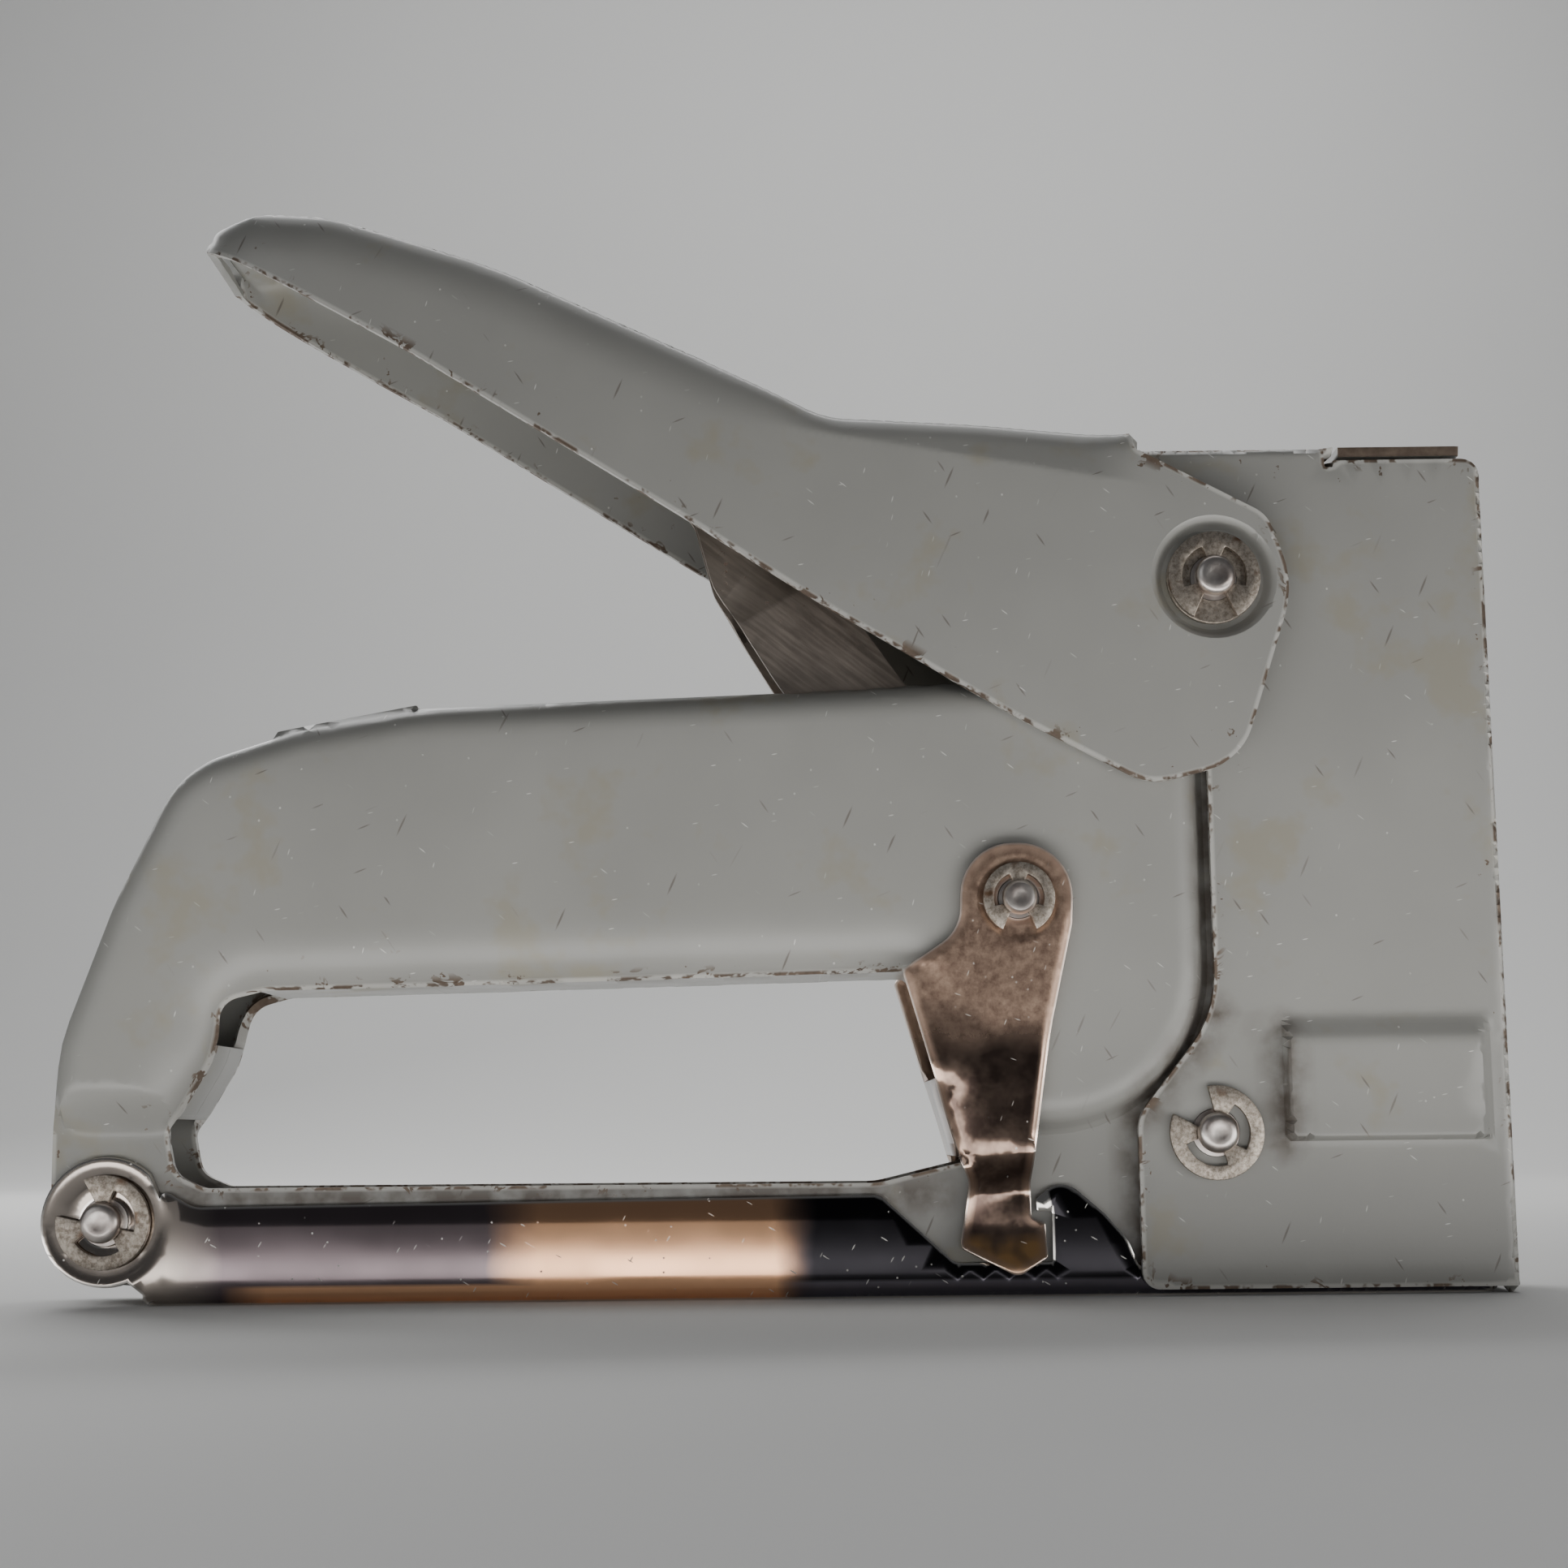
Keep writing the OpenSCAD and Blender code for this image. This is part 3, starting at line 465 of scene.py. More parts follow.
def coil(name, start, direction, radius, wire, length, turns, per_turn, sides):
    """A round wire wound round an axis from its start, with closed ends."""
    axis = Vector(direction).normalized()
    across = axis.orthogonal().normalized()
    other = axis.cross(across)
    mesh = bmesh.new()
    count = int(turns * per_turn)
    rise = length - wire
    dead = 0.8                 # turns that lie flat at each end
    rings = []
    for i in range(count + 1):
        a = 2 * math.pi * i / per_turn
        f = max(0.0, min(1.0, (i / count - dead / turns) / (1 - 2 * dead / turns)))
        f = f * (1 - 2 * dead * wire / rise) + dead * wire / rise if 0 < f < 1 else f
        out = across * math.cos(a) + other * math.sin(a)
        centre = Vector(start) + axis * (wire / 2 + rise * f) + out * radius
        turn = [2 * math.pi * s / sides for s in range(sides)]
        rings.append([mesh.verts.new((centre + (out * math.cos(t) + axis * math.sin(t)) * wire / 2) * MM)
                      for t in turn])
    for low, high in zip(rings, rings[1:]):
        for s in range(sides):
            t = (s + 1) % sides
            mesh.faces.new([low[s], low[t], high[t], high[s]])
    mesh.faces.new(rings[0])
    mesh.faces.new(list(reversed(rings[-1])))
    bmesh.ops.recalc_face_normals(mesh, faces=mesh.faces)
    piece = new_piece(name, mesh)
    settle(piece, 0)
    return piece


# ---------- outlines of this tool ----------
GRIP_TOP = 72.3
ROCKER_WAY = PIVOT[0] - 84.5        # the rocker works in an open slot from here forward
OPENING_LOW, OPENING_TOP = 13.6, 38.2
FOOT = 20.5
BULGE_X = 51.05
LEG = at((REAR, 0), (14.35, 62), (7.45, 47.5), (1.45, 30.9))
GRIP_BACK = at((REAR, GRIP_TOP), (87.75, 0), (44.65, -1.4), (29.95, -3.7), (18.55, -7.3))
SEAM_TAB = at((REAR, GRIP_TOP), (43.9, -1.42), (43.6, -0.8), (26.7, -3.9), (26.2, -4.9))

BODY_OUTLINE = rounded(
    [(REAR + 0.8, 3.2), (REAR_PIN[0] + 5, 2.2), (62, 2.2), (62, PIVOT[1] + 10.5),
     (PIVOT[0] - 6.5, PIVOT[1] + 10.5), (PIVOT[0] - 6.5, GRIP_TOP + 1.7), (LATCH_PIN[0] - 9.9, GRIP_TOP + 0.9)]
    + GRIP_BACK[:1] + SEAM_TAB + GRIP_BACK[3:] + LEG + [(REAR + 0.8, FOOT)],
    [6.2, 2, 2, 2, 2, 2, 20, 30, 0, 0.3, 0.3, 0, 10, 12, 20, 20, 12])

OPENING = rounded(
    [(REAR + 19, OPENING_LOW), (LATCH_PIN[0] - 16.8, OPENING_LOW - 0.2), (LATCH_PIN[0] - 5.7, 16),
     (LATCH_PIN[0] - 12.6, OPENING_TOP + 0.2), (REAR + 46, OPENING_TOP - 1), (REAR + 26, OPENING_TOP - 1.3),
     (REAR + 20.9, OPENING_TOP - 2.6), (REAR + 20.3, 31.4), (REAR + 19.6, 28.5), (REAR + 16.2, 22.6),
     (REAR + 14.4, 20.2), (REAR + 15.4, 15.2)],
    [2, 8, 1, 1, 30, 5, 3, 1, 8, 0.6, 2.2, 3])

BULGE = rounded(
    [(REAR + 0.8, FOOT), (REAR + 15, FOOT), (REAR + 19.6, 28.5), (REAR + 21.4, OPENING_TOP - 1.8),
     (REAR + 46, OPENING_TOP - 1), (LATCH_PIN[0] - 12.6, OPENING_TOP + 0.2), (LATCH_PIN[0] - 6.7, 19.6),
     (BULGE_X, 19.6), (BULGE_X, GRIP_TOP + 1.7), (LATCH_PIN[0] - 9.9, GRIP_TOP + 0.9)]
    + GRIP_BACK + LEG,
    [4.2, 4.2, 20, 6, 30, 3, 5, 19, 4.5, 20, 30, 30, 12, 10, 12, 20, 20])

HEAD_EDGE = at((FRONT, 0), (-44.35, 20.9), (-34.75, 32.9))
HEAD_FOOT = [(FRONT - 44.35, HEAD_LOW), (FRONT, HEAD_LOW), (FRONT, HEAD_TOP - 8)]
HEAD_REAR = [(PIVOT[0] - 8, HEAD_TOP), (PIVOT[0] - 9.3, HEAD_TOP - 4), (PIVOT[0] - 9.3, GRIP_TOP + 2.3),
             (BULGE_X + 1.2, GRIP_TOP + 2.3), HEAD_EDGE[1], HEAD_EDGE[0]]
HEAD_REAR_RADII = [0.5, 2, 2, 0.5, 14, 5]
HEAD_OUTLINE_FAR = rounded(HEAD_FOOT + [(FRONT, HEAD_TOP)] + HEAD_REAR, [2, 0.5, 0, 3] + HEAD_REAR_RADII)
NOTCH = PIVOT[0] + 14.4
HEAD_OUTLINE_NEAR = rounded(
    HEAD_FOOT + [(FRONT, HEAD_TOP - 1.7), (NOTCH + 1.2, HEAD_TOP - 1.75), (NOTCH + 1.1, HEAD_TOP - 2.6),
                 (NOTCH + 0.1, HEAD_TOP - 2.6), (NOTCH, HEAD_TOP)] + HEAD_REAR,
    [2, 0.5, 0, 2.6, 0, 0.2, 0.3, 0.3] + HEAD_REAR_RADII)
POCKET = [(FRONT - 27.1, 17.8), (FRONT - 2.4, 17.8), (FRONT - 2.4, 30.6), (FRONT - 27.1, 30.6)]

LEVER_LOW = at(PIVOT, (-123.7, 43.9), (-97, 28.7), (-48.05, -2.3), (-24.05, -16.9), (-8.5, -25.2),
               (2.5, -22.5), (9.6, -0.9), (6.6, 7.6), (-8.9, 15.9))
LEVER_TOP = at(PIVOT, (-9.65, 18.5), (-28, 20.2), (-46.8, 21.1), (-60.65, 28), (-87.45, 40.6),
               (-107.1, 47), (-117, 48.2), (-123, 46.7))
LEVER_OUTLINE = rounded(LEVER_LOW + LEVER_TOP, [0.5, 20, 60, 40, 7, 8, 12, 4, 0.8, 0.5, 20, 12, 30, 40, 12, 5, 1.5])

HOOK = FRONT - 44.6
RECESS = HOOK - 10.05
CHANNEL_OUTLINE = (
    arc(REAR_PIN, 7.55, 47, 292, 8)
    + rounded([(REAR_PIN[0] + 4.6, 0.5), (REAR_PIN[0] + 6.2, 0), (CHANNEL_END, 0), (CHANNEL_END, 3.4),
               (HOOK, 3.4), (HOOK - 1.2, 6.5), (HOOK - 3.8, 9.5), (HOOK - 8.8, 13.9), (RECESS - 1.9, 11.35),
               (RECESS - 1.8, 9.95), (RECESS, 9.95), (RECESS, 4), (RECESS - 11.5, 4),
               (LATCH_PIN[0] - 16.8, 12), (REAR_PIN[0] + 10.5, 11.4), (REAR_PIN[0] + 6.6, 13.6)],
              [1, 0.4, 0.3, 0.3, 0.8, 4, 3, 3, 0.5, 0.3, 0.3, 0.4, 1.5, 1.5, 3.6, 0.8]))

ARM_OUTLINE = rounded(
    at(LATCH_PIN, (-7.6, -30.2), (-6.3, -33.4), (-7.5, -40.7), (-0.8, -44.2), (2.7, -41.9), (2.5, -37.9),
       (0.9, -37.4), (0.9, -33.2), (1.3, -29.6), (3.4, -15.7), (6.3, -3), (6.6, 6.6), (-6.6, 6.6),
       (-7.0, -3.7), (-13.9, -8.3)),
    [0.6, 3, 1, 1.6, 0.6, 0.5, 0.8, 3, 4, 30, 3, 6.2, 6.2, 5, 0.9])

ROCKER_REACH, ROCKER_FALL = 40, math.radians(13.5)
TIP = LATCH_PIN + ROCKER_REACH * np.array([math.cos(ROCKER_FALL), -math.sin(ROCKER_FALL)])
ALONG = (TIP - LATCH_PIN) / ROCKER_REACH
UP = np.array([-ALONG[1], ALONG[0]])
TIP_ROUND = [tuple(TIP + ALONG * u + UP * v) for u, v in (
    (-6.5, -2.6), (-3.1, -3.0), (0, -4.4), (3.1, -3.1), (4.4, 0), (3.1, 3.1), (0, 4.4), (-3.1, 3.0), (-6.5, 2.6))]
ROCKER_OUTLINE = rounded(
    at(PIVOT, (-69.9, 25.4), (-70.2, 20.9), (-63.1, 10.6), (-60.7, 1.6), (-53.4, -10.3))
    + at(LATCH_PIN, (-5.5, -6.5), (4, -6.2)) + TIP_ROUND
    + at(LATCH_PIN, (6, 5.5)) + at(PIVOT, (-37.4, -11.2), (-60.2, 21.5), (-61.5, 25.6), (-64.5, 27.6)),
    [3, 3, 3, 6, 8, 4, 3, 2, 1.5, 1, 1, 1, 1, 1, 1.5, 2, 6, 3, 4, 3, 3])


# ---------- heights of the pressings ----------
def on_opening(x, z):
    return FOOT < z < 39 and REAR + 14 < x < LATCH_PIN[0] - 5


def beside_flange(x, z):
    return (z < FOOT + 0.3 and x < REAR + 16) or (x > LATCH_PIN[0] - 5 and z < 70)


FLANGE_SIDE = stretches(BULGE, beside_flange)
OPENING_SIDE = stretches(BULGE, lambda x, z: on_opening(x, z) and not beside_flange(x, z))
SEAM_SIDE = stretches(BULGE, lambda x, z: not on_opening(x, z) and not beside_flange(x, z))


def body_height(p):
    """The grip's bulge over the flat flange."""
    inside = within(p, BULGE)
    toe = np.where(inside, gap_to(p, FLANGE_SIDE), -gap_to(p, [closed(BULGE)])) + 0.8
    free = np.minimum(roll(gap_to(p, SEAM_SIDE), 4.4), roll(gap_to(p, OPENING_SIDE), 7.5) ** 1.15)
    foot = np.where(p[:, 0] < REAR + 24, swell(toe, 6.5), roll(toe, 4.6) * swell(toe, 1.9))
    share = np.where(inside, np.minimum(free, foot), foot)
    return FLANGE_OUT + (BULGE_OUT - FLANGE_OUT) * share


def body_fold(x, z):
    """The walls that meet at the middle seam; the corner notches of the opening have none."""
    if on_opening(x, z) and x < REAR + 30:
        return 0.05 if 21.4 < z < 30.4 or x > REAR + 25.5 else None
    if on_opening(x, z) or (x < REAR + 19 and z > FOOT):
        return 0.05
    if z > GRIP_TOP - 12 and x < PIVOT[0] - 7:
        return 0.05 if x < ROCKER_WAY else 6.25
    return None


def head_height(p):
    """Flat side with a rounded front and top fold, and the raised pocket."""
    x, z = p[:, 0], p[:, 1]
    y = HEAD_OUT - 1.3 * (1 - roll(FRONT - x, 1.3))
    top = (x > PIVOT[0] - 8) & (x < NOTCH)
    y = np.where(top, y - 1.3 * (1 - roll(HEAD_TOP - z, 1.3)), y)
    (x0, z0), (x1, z1) = POCKET[0], POCKET[2]
    share = np.minimum(roll(x - x0, 0.6), roll(z - z0, 0.7))
    share = np.minimum(share, swell(z1 + 2.4 - z, 3.8))
    share = np.minimum(share, swell(x1 + 0.3 - x, 2.4))
    return y + (POCKET_OUT - HEAD_OUT) * share


def far_head_height(p):
    """The far side, whose top is folded over in front and plain behind."""
    x, z = p[:, 0], p[:, 1]
    y = head_height(p)
    folded = (x > NOTCH + 1) & (x < FRONT - 1.6)
    plain = (x > PIVOT[0] - 8) & (x < NOTCH)
    y = np.where(plain, y + 1.3 * (1 - roll(HEAD_TOP - z, 1.3)), y)
    return np.where(folded, y - 1.3 * (1 - roll(HEAD_TOP - z, 1.3)), y)


def near_head_fold(x, z):
    if x > FRONT - 0.3:
        return 0.0
    return -(HEAD_OUT - SHEET - 0.15) if z > HEAD_TOP - 0.2 and x < NOTCH - 0.2 else None


def far_head_fold(x, z):
    if x > FRONT - 0.3:
        return 0.0
    return (-(HEAD_OUT - 0.5), "cut") if z > HEAD_TOP - 0.2 and NOTCH + 1.3 < x < FRONT - 2.6 else None


def on_lever_back(x, z):
    return x < PIVOT[0] - 9.6 and z - PIVOT[1] > 45.2 - 0.357 * (x - PIVOT[0] + 121.5)


LEVER_BACK = stretches(LEVER_OUTLINE, on_lever_back)
CREASE_START = (PIVOT[0] - 49, PIVOT[1] + 18.8)
CREASE_FALL = 0.175
TAIL_START = PIVOT[0] - 100.5


def lever_height(p):
    """Flared side with a rolled back, a soft crease, a narrowing rear end and the dish round the pivot."""
    x, z = p[:, 0], p[:, 1]
    y = LEVER_OUT + (LEVER_WIDE - LEVER_OUT) * swell(PIVOT[0] - 44 - x, 20)
    tail = np.clip((TAIL_START - x) / 23.7, 0, 1)
    y = y - 7.2 * (1 - np.sqrt(np.clip(1 - tail ** 2.4, 0, 1)))
    above = z - (CREASE_START[1] - CREASE_FALL * (x - CREASE_START[0]))
    fade = swell(x - CREASE_START[0] + 6, 12) * swell(PIVOT[0] - 6 - x, 10)
    y = y - 0.36 * np.maximum(above, 0) * fade
    ear = swell(x - PIVOT[0] + 62, 16)
    y = y - (4.2 - 2 * ear) * (1 - roll(gap_to(p, LEVER_BACK), 7.5 - 4.5 * ear)) * swell(PIVOT[0] - 9.0 - x, 1.2)
    r = np.hypot(x - PIVOT[0], z - PIVOT[1])
    return y - 1.8 * (1 - swell(r - 6.3, 1.2))


def lever_fold(x, z):
    """The two sides meet along the back and at the very tip."""
    points = np.array([[x, z]])
    return 0.0 if gap_to(points, LEVER_BACK)[0] < 0.05 or x < PIVOT[0] - 123.4 else None


def channel_height(p):
    """Flat side with a folded bottom edge and a slightly dished ear."""
    x, z = p[:, 0], p[:, 1]
    y = np.where(x > REAR_PIN[0] + 6, CHANNEL_OUT - 1.3 * (1 - roll(z, 1.3)), CHANNEL_OUT)
    r = np.hypot(x - REAR_PIN[0], z - REAR_PIN[1])
    return y - 0.15 * (1 - swell(r - 6.4, 1.2))


def channel_fold(x, z):
    return 0.0 if z < 0.05 and x > REAR_PIN[0] + 6.2 else None


ARM_BEND = at(LATCH_PIN, (-4.3, -30.6), (-7.9, -5.0))
ARM_RIMS = stretches(ARM_OUTLINE, lambda x, z: LATCH_PIN[1] - 29 < z < LATCH_PIN[1] - 2)


def arm_height(p):
    """Flat arm with bevelled rims, a twisted neck and a flared foot close to the magazine."""
    x, z = p[:, 0] - LATCH_PIN[0], p[:, 1] - LATCH_PIN[1]
    foot_out = CHANNEL_OUT + 1.2
    y = foot_out + (LATCH_OUT - foot_out) * swell(z + 34.6, 5.2)
    neck = np.exp(-((z + 33) / 2.2) ** 2)
    y = y - 0.09 * (x + 2.5) * neck
    y = y - 0.2 * (1 - swell(gap_to(p, ARM_RIMS), 1.1)) * swell(z + 30.5, 2)
    band = np.maximum(beside(p, *ARM_BEND), 0) * swell(-6.5 - z, 5) * swell(z + 32, 2)
    deep = swell(-19.6 - z, 8)          # below this the arm swings clear of the grip's bulge
    y = y - np.minimum(0.34 * band ** 1.4, 0.25 + 2.4 * deep)
    flare = swell(-38.2 - z, 5.5) * 0.7
    r = np.hypot(x, z)
    return y + flare - 0.2 * (1 - swell(r - 4.3, 0.7))


def arm_fold(x, z):
    web = LATCH_PIN[0] - 13.9 + (LATCH_PIN[1] - 8.1 - z) * 0.285
    return 0.0 if LATCH_PIN[1] - 30 < z < LATCH_PIN[1] - 20.6 and abs(x - web) < 1.2 else None


BEND_A = at(PIVOT, (-55.05, 5.3), (-59.25, -0.4))
BEND_B = at(PIVOT, (-49.4, 0.8), (-57.5, -4.0))


def rocker_height(p):
    """Main plate, a sloped band, and a rear corner that lies further in."""
    first, second = beside(p, *BEND_A), beside(p, *BEND_B)
    share = np.where(second >= 0, 1.0, np.clip(first / np.maximum(first - second, 1e-6), 0, 1))
    share = np.where((first <= 0) & (second < 0), 0.0, share)
    top = swell(p[:, 1] - PIVOT[1] - 17, 6)
    return ROCKER_OUT - 1.9 * (1 - share) * (1 - top)


def rocker_fold(x, z):
    return 0.0 if z > PIVOT[1] + 21 else None


# ---------- material building ----------
class Finish:
    """A node material under construction."""

    def __init__(self, name, colour, metallic, roughness):
        self.material = bpy.data.materials.new(name)
        self.material.use_nodes = True
        self.tree = self.material.node_tree
        self.shader = self.tree.nodes["Principled BSDF"]
        self.shader.inputs["Base Color"].default_value = (*colour, 1)
        self.shader.inputs["Metallic"].default_value = metallic
        self.shader.inputs["Roughness"].default_value = roughness
        self.material.diffuse_color = (*colour, 1)
        self.place = self.node("ShaderNodeTexCoord").outputs["Object"]

    def node(self, kind, **values):
        made = self.tree.nodes.new(kind)
        for key, value in values.items():
            setattr(made, key, value)
        return made

    def link(self, source, target):
        self.tree.links.new(source, target)
        return source

    def feed(self, target, value):
        if isinstance(value, (int, float)):
            target.default_value = value
        elif isinstance(value, tuple):
            target.default_value = (*value, 1) if len(value) == 3 and target.type == "RGBA" else value
        else:
            self.link(value, target)

    def grain(self, across, along, lean=0.0):
        """The place laid flat on the tool's side, turned by lean and divided by two cell sizes in millimetres."""
        mapping = self.node("ShaderNodeMapping", vector_type="TEXTURE")
        self.link(self.place, mapping.inputs["Vector"])
        mapping.inputs["Rotation"].default_value = (math.radians(90), math.radians(lean), 0)
        mapping.inputs["Scale"].default_value = (across * MM, along * MM, 1.0)
        return mapping.outputs["Vector"]

    def noise(self, size, detail=2.0, where=None, rough=0.5, twist=0.0):
        """Cloudy variation with features of a size in millimetres."""
        made = self.node("ShaderNodeTexNoise")
        self.link(where or self.place, made.inputs["Vector"])
        made.inputs["Scale"].default_value = 1000.0 / size if where is None else 1.0
        made.inputs["Detail"].default_value = detail
        made.inputs["Roughness"].default_value = rough
        made.inputs["Distortion"].default_value = twist
        return made.outputs["Fac"]

    def ramp(self, value, low, high):
        """0 below low, 1 above high; low may be the larger of the two."""
        made = self.node("ShaderNodeMapRange", clamp=True)
        self.feed(made.inputs["Value"], value)
        made.inputs["From Min"].default_value = low
        made.inputs["From Max"].default_value = high
        return made.outputs["Result"]

    def math(self, operation, a, b=0.0):
        made = self.node("ShaderNodeMath", operation=operation)
        self.feed(made.inputs[0], a)
        self.feed(made.inputs[1], b)
        return made.outputs[0]

    def both(self, *values):
        return reduce(lambda a, b: self.math("MULTIPLY", a, b), values)

    def most(self, *values):
        return reduce(lambda a, b: self.math("MAXIMUM", a, b), values)

    def mix(self, factor, a, b, kind="RGBA"):
        """Goes from colour a to colour b as the factor goes from 0 to 1."""
        made = self.node("ShaderNodeMix", data_type=kind)
        for name, value in (("Factor", factor), ("A", a), ("B", b)):
            self.feed(made.inputs[name], value)
        return made.outputs["Result"]

    def blend(self, factor, a, b):
        return self.mix(factor, a, b, "FLOAT")

    def axis(self, name):
        made = self.node("ShaderNodeSeparateXYZ")
        self.link(self.place, made.inputs[0])
        return self.math("MULTIPLY", made.outputs[name], 1000.0)

    def stored(self, name):
        """A distance stored on the mesh, in millimetres."""
        return self.node("ShaderNodeAttribute", attribute_name=name).outputs["Fac"]

    def strokes(self, across, along, lean, share, blunt=0.32):
        """Separate short marks: one in a share of the cells."""
        made = self.node("ShaderNodeTexVoronoi", voronoi_dimensions="2D")
        self.link(self.grain(across, along, lean), made.inputs["Vector"])
        made.inputs["Scale"].default_value = 1.0
        chosen = self.node("ShaderNodeSeparateColor")
        self.link(made.outputs["Color"], chosen.inputs[0])
        return self.both(self.ramp(made.outputs["Distance"], blunt, blunt * 0.5),
                         self.ramp(chosen.outputs[0], 1 - share, 1 - share + 0.004))

    def marks(self, *rows):
        """Several kinds of stroke together, each row as strokes() takes it."""
        return self.most(*(self.strokes(*row) for row in rows))

    def bump(self, height, strength, distance):
        made = self.node("ShaderNodeBump")
        made.inputs["Strength"].default_value = strength
        made.inputs["Distance"].default_value = distance * MM
        self.link(height, made.inputs["Height"])
        self.link(made.outputs["Normal"], self.shader.inputs["Normal"])

    def apply(self, colour=None, roughness=None, metallic=None):
        for name, value in (("Base Color", colour), ("Roughness", roughness), ("Metallic", metallic)):
            if value is not None:
                self.feed(self.shader.inputs[name], value)
        return self.material


def grey_enamel(settings):
    """Light grey baked enamel: stains, hairline scratches, lint, soiling with painted shade in the corners and gaps,
    painted highlights along the edges, chipped edges.
    """
    f = Finish("grey_enamel_finish", settings.paint, 0.0, 0.42)
    base = tuple(settings.paint)
    dull = tuple(c * 0.86 for c in base)
    colour = f.mix(f.ramp(f.noise(26, 3.0), 0.3, 0.75), base, dull)
    stain = f.both(f.ramp(f.noise(15, 4.0, rough=0.65), 0.575, 0.66), 0.55)
    colour = f.mix(stain, colour, (0.31, 0.285, 0.21))
    lines = f.marks((0.5, 5.0, 24, 0.008), (0.42, 3.4, -34, 0.008), (0.34, 3.0, 68, 0.006),
                    (0.6, 9.0, 30, 0.003, 0.2))
    colour = f.mix(f.both(lines, 0.72), colour, (0.13, 0.11, 0.095))
    lint = f.marks((0.26, 1.5, 15, 0.0035), (0.26, 1.9, -52, 0.0035), (0.24, 1.3, 80, 0.004), (0.5, 0.55, 0, 0.003))
    colour = f.mix(f.both(lint, 0.85), colour, (0.80, 0.80, 0.77))
    # soiling and painted shade: dark brown near the stored lines, in the gaps between parts and along recesses
    grime_and_shade = f.both(f.ramp(f.stored("grime_and_shade"), 3.6, 0.1), f.ramp(f.noise(3.2, 4.0), 0.27, 0.6))
    colour = f.mix(f.both(grime_and_shade, 0.85), colour, (0.085, 0.062, 0.045))
    edge = f.stored("edge")
    # painted highlight: a light rim along the edges
    colour = f.mix(f.both(f.ramp(edge, 0.6, 0.3), 0.55), colour, (0.66, 0.65, 0.61))
    worn = f.both(f.ramp(edge, 0.5, 0.25), f.ramp(f.noise(3.4, 3.0, rough=0.7), 0.50, 0.56))
    chip = f.both(f.ramp(edge, 1.5, 0.5), f.ramp(f.noise(4.6, 4.0, rough=0.75, twist=0.6), 0.60, 0.62))
    far_chip = f.both(f.ramp(edge, 5.0, 1.5), f.ramp(f.noise(2.1, 3.0, rough=0.7), 0.69, 0.705))
    bare = f.most(worn, chip, far_chip, f.ramp(edge, -0.2, -0.5))
    metal = f.mix(f.noise(0.9, 2.0), (0.10, 0.072, 0.055), (0.27, 0.21, 0.16))
    colour = f.mix(bare, colour, metal)
    rough = f.blend(bare, f.blend(f.noise(7.0, 3.0), 0.27, 0.38), 0.58)
    peel = f.math("ADD", f.both(f.noise(0.8, 1.0), 0.25), f.both(f.noise(2.4, 1.0), 0.3))
    dents = f.math("SUBTRACT", peel, f.math("ADD", f.both(bare, 0.7), f.both(lines, 0.25)))
    f.bump(dents, 0.35, 0.09)
    return f.apply(colour, rough, f.both(bare, 0.55))


def chrome_plate(settings):
    """Polished plate with painted reflections: a purple-grey rear, a warm middle and a deep dark front; fine wiping
    marks and specks.
    """
    f = Finish("chrome_plate_finish", (0.5, 0.48, 0.48), 1.0, 0.1)
    x, z = f.axis("X"), f.axis("Z")
    cloud = f.both(f.math("SUBTRACT", f.noise(6, 2.0), 0.5), 3.0)
    x = f.math("ADD", x, cloud)
    # painted reflections: a warm tan middle and a low band along the bottom
    low = f.ramp(z, 2.3, 1.9)
    warm = f.both(f.ramp(x, -34.5, -28), f.ramp(x, 4.0, -0.5))
    warm = f.most(warm, f.both(low, f.ramp(x, -66, -60), f.ramp(x, -2, -10)))
    plate = tuple(settings.chrome)
    colour = f.mix(f.ramp(f.noise(18, 2.0), 0.3, 0.7), plate, tuple(c * 0.7 for c in plate))
    colour = f.mix(warm, colour, (0.93, 0.53, 0.31))
    colour = f.mix(f.ramp(x, -66, -72), colour, (0.42, 0.37, 0.33))
    # painted reflection: the deep dark front, with a purple-grey low band
    dark = f.ramp(x, -0.3, 4.4)
    colour = f.mix(dark, colour, (0.022, 0.021, 0.024))
    colour = f.mix(f.both(dark, low, 0.5), colour, (0.30, 0.28, 0.33))
    edge = f.stored("edge")
    # painted highlight: a bright rim along the edges
    colour = f.mix(f.both(f.ramp(edge, 0.32, 0.12), 0.8), colour, (0.85, 0.82, 0.78))
    speck = f.marks((0.26, 1.3, 30, 0.008), (0.26, 1.6, -60, 0.008), (0.45, 0.45, 0, 0.007))
    colour = f.mix(f.both(speck, 0.8), colour, (0.75, 0.74, 0.7))
    wipe = f.noise(1.0, 2.0, f.grain(9.0, 0.35))
    rough = f.blend(f.ramp(f.noise(12, 3.0), 0.35, 0.75), 0.08, 0.14)
    f.bump(f.math("ADD", f.both(wipe, 0.1), f.both(f.noise(3.5, 1.0), 0.5)), 0.03, 0.05)
    return f.apply(colour, f.math("ADD", rough, f.both(speck, 0.4)))


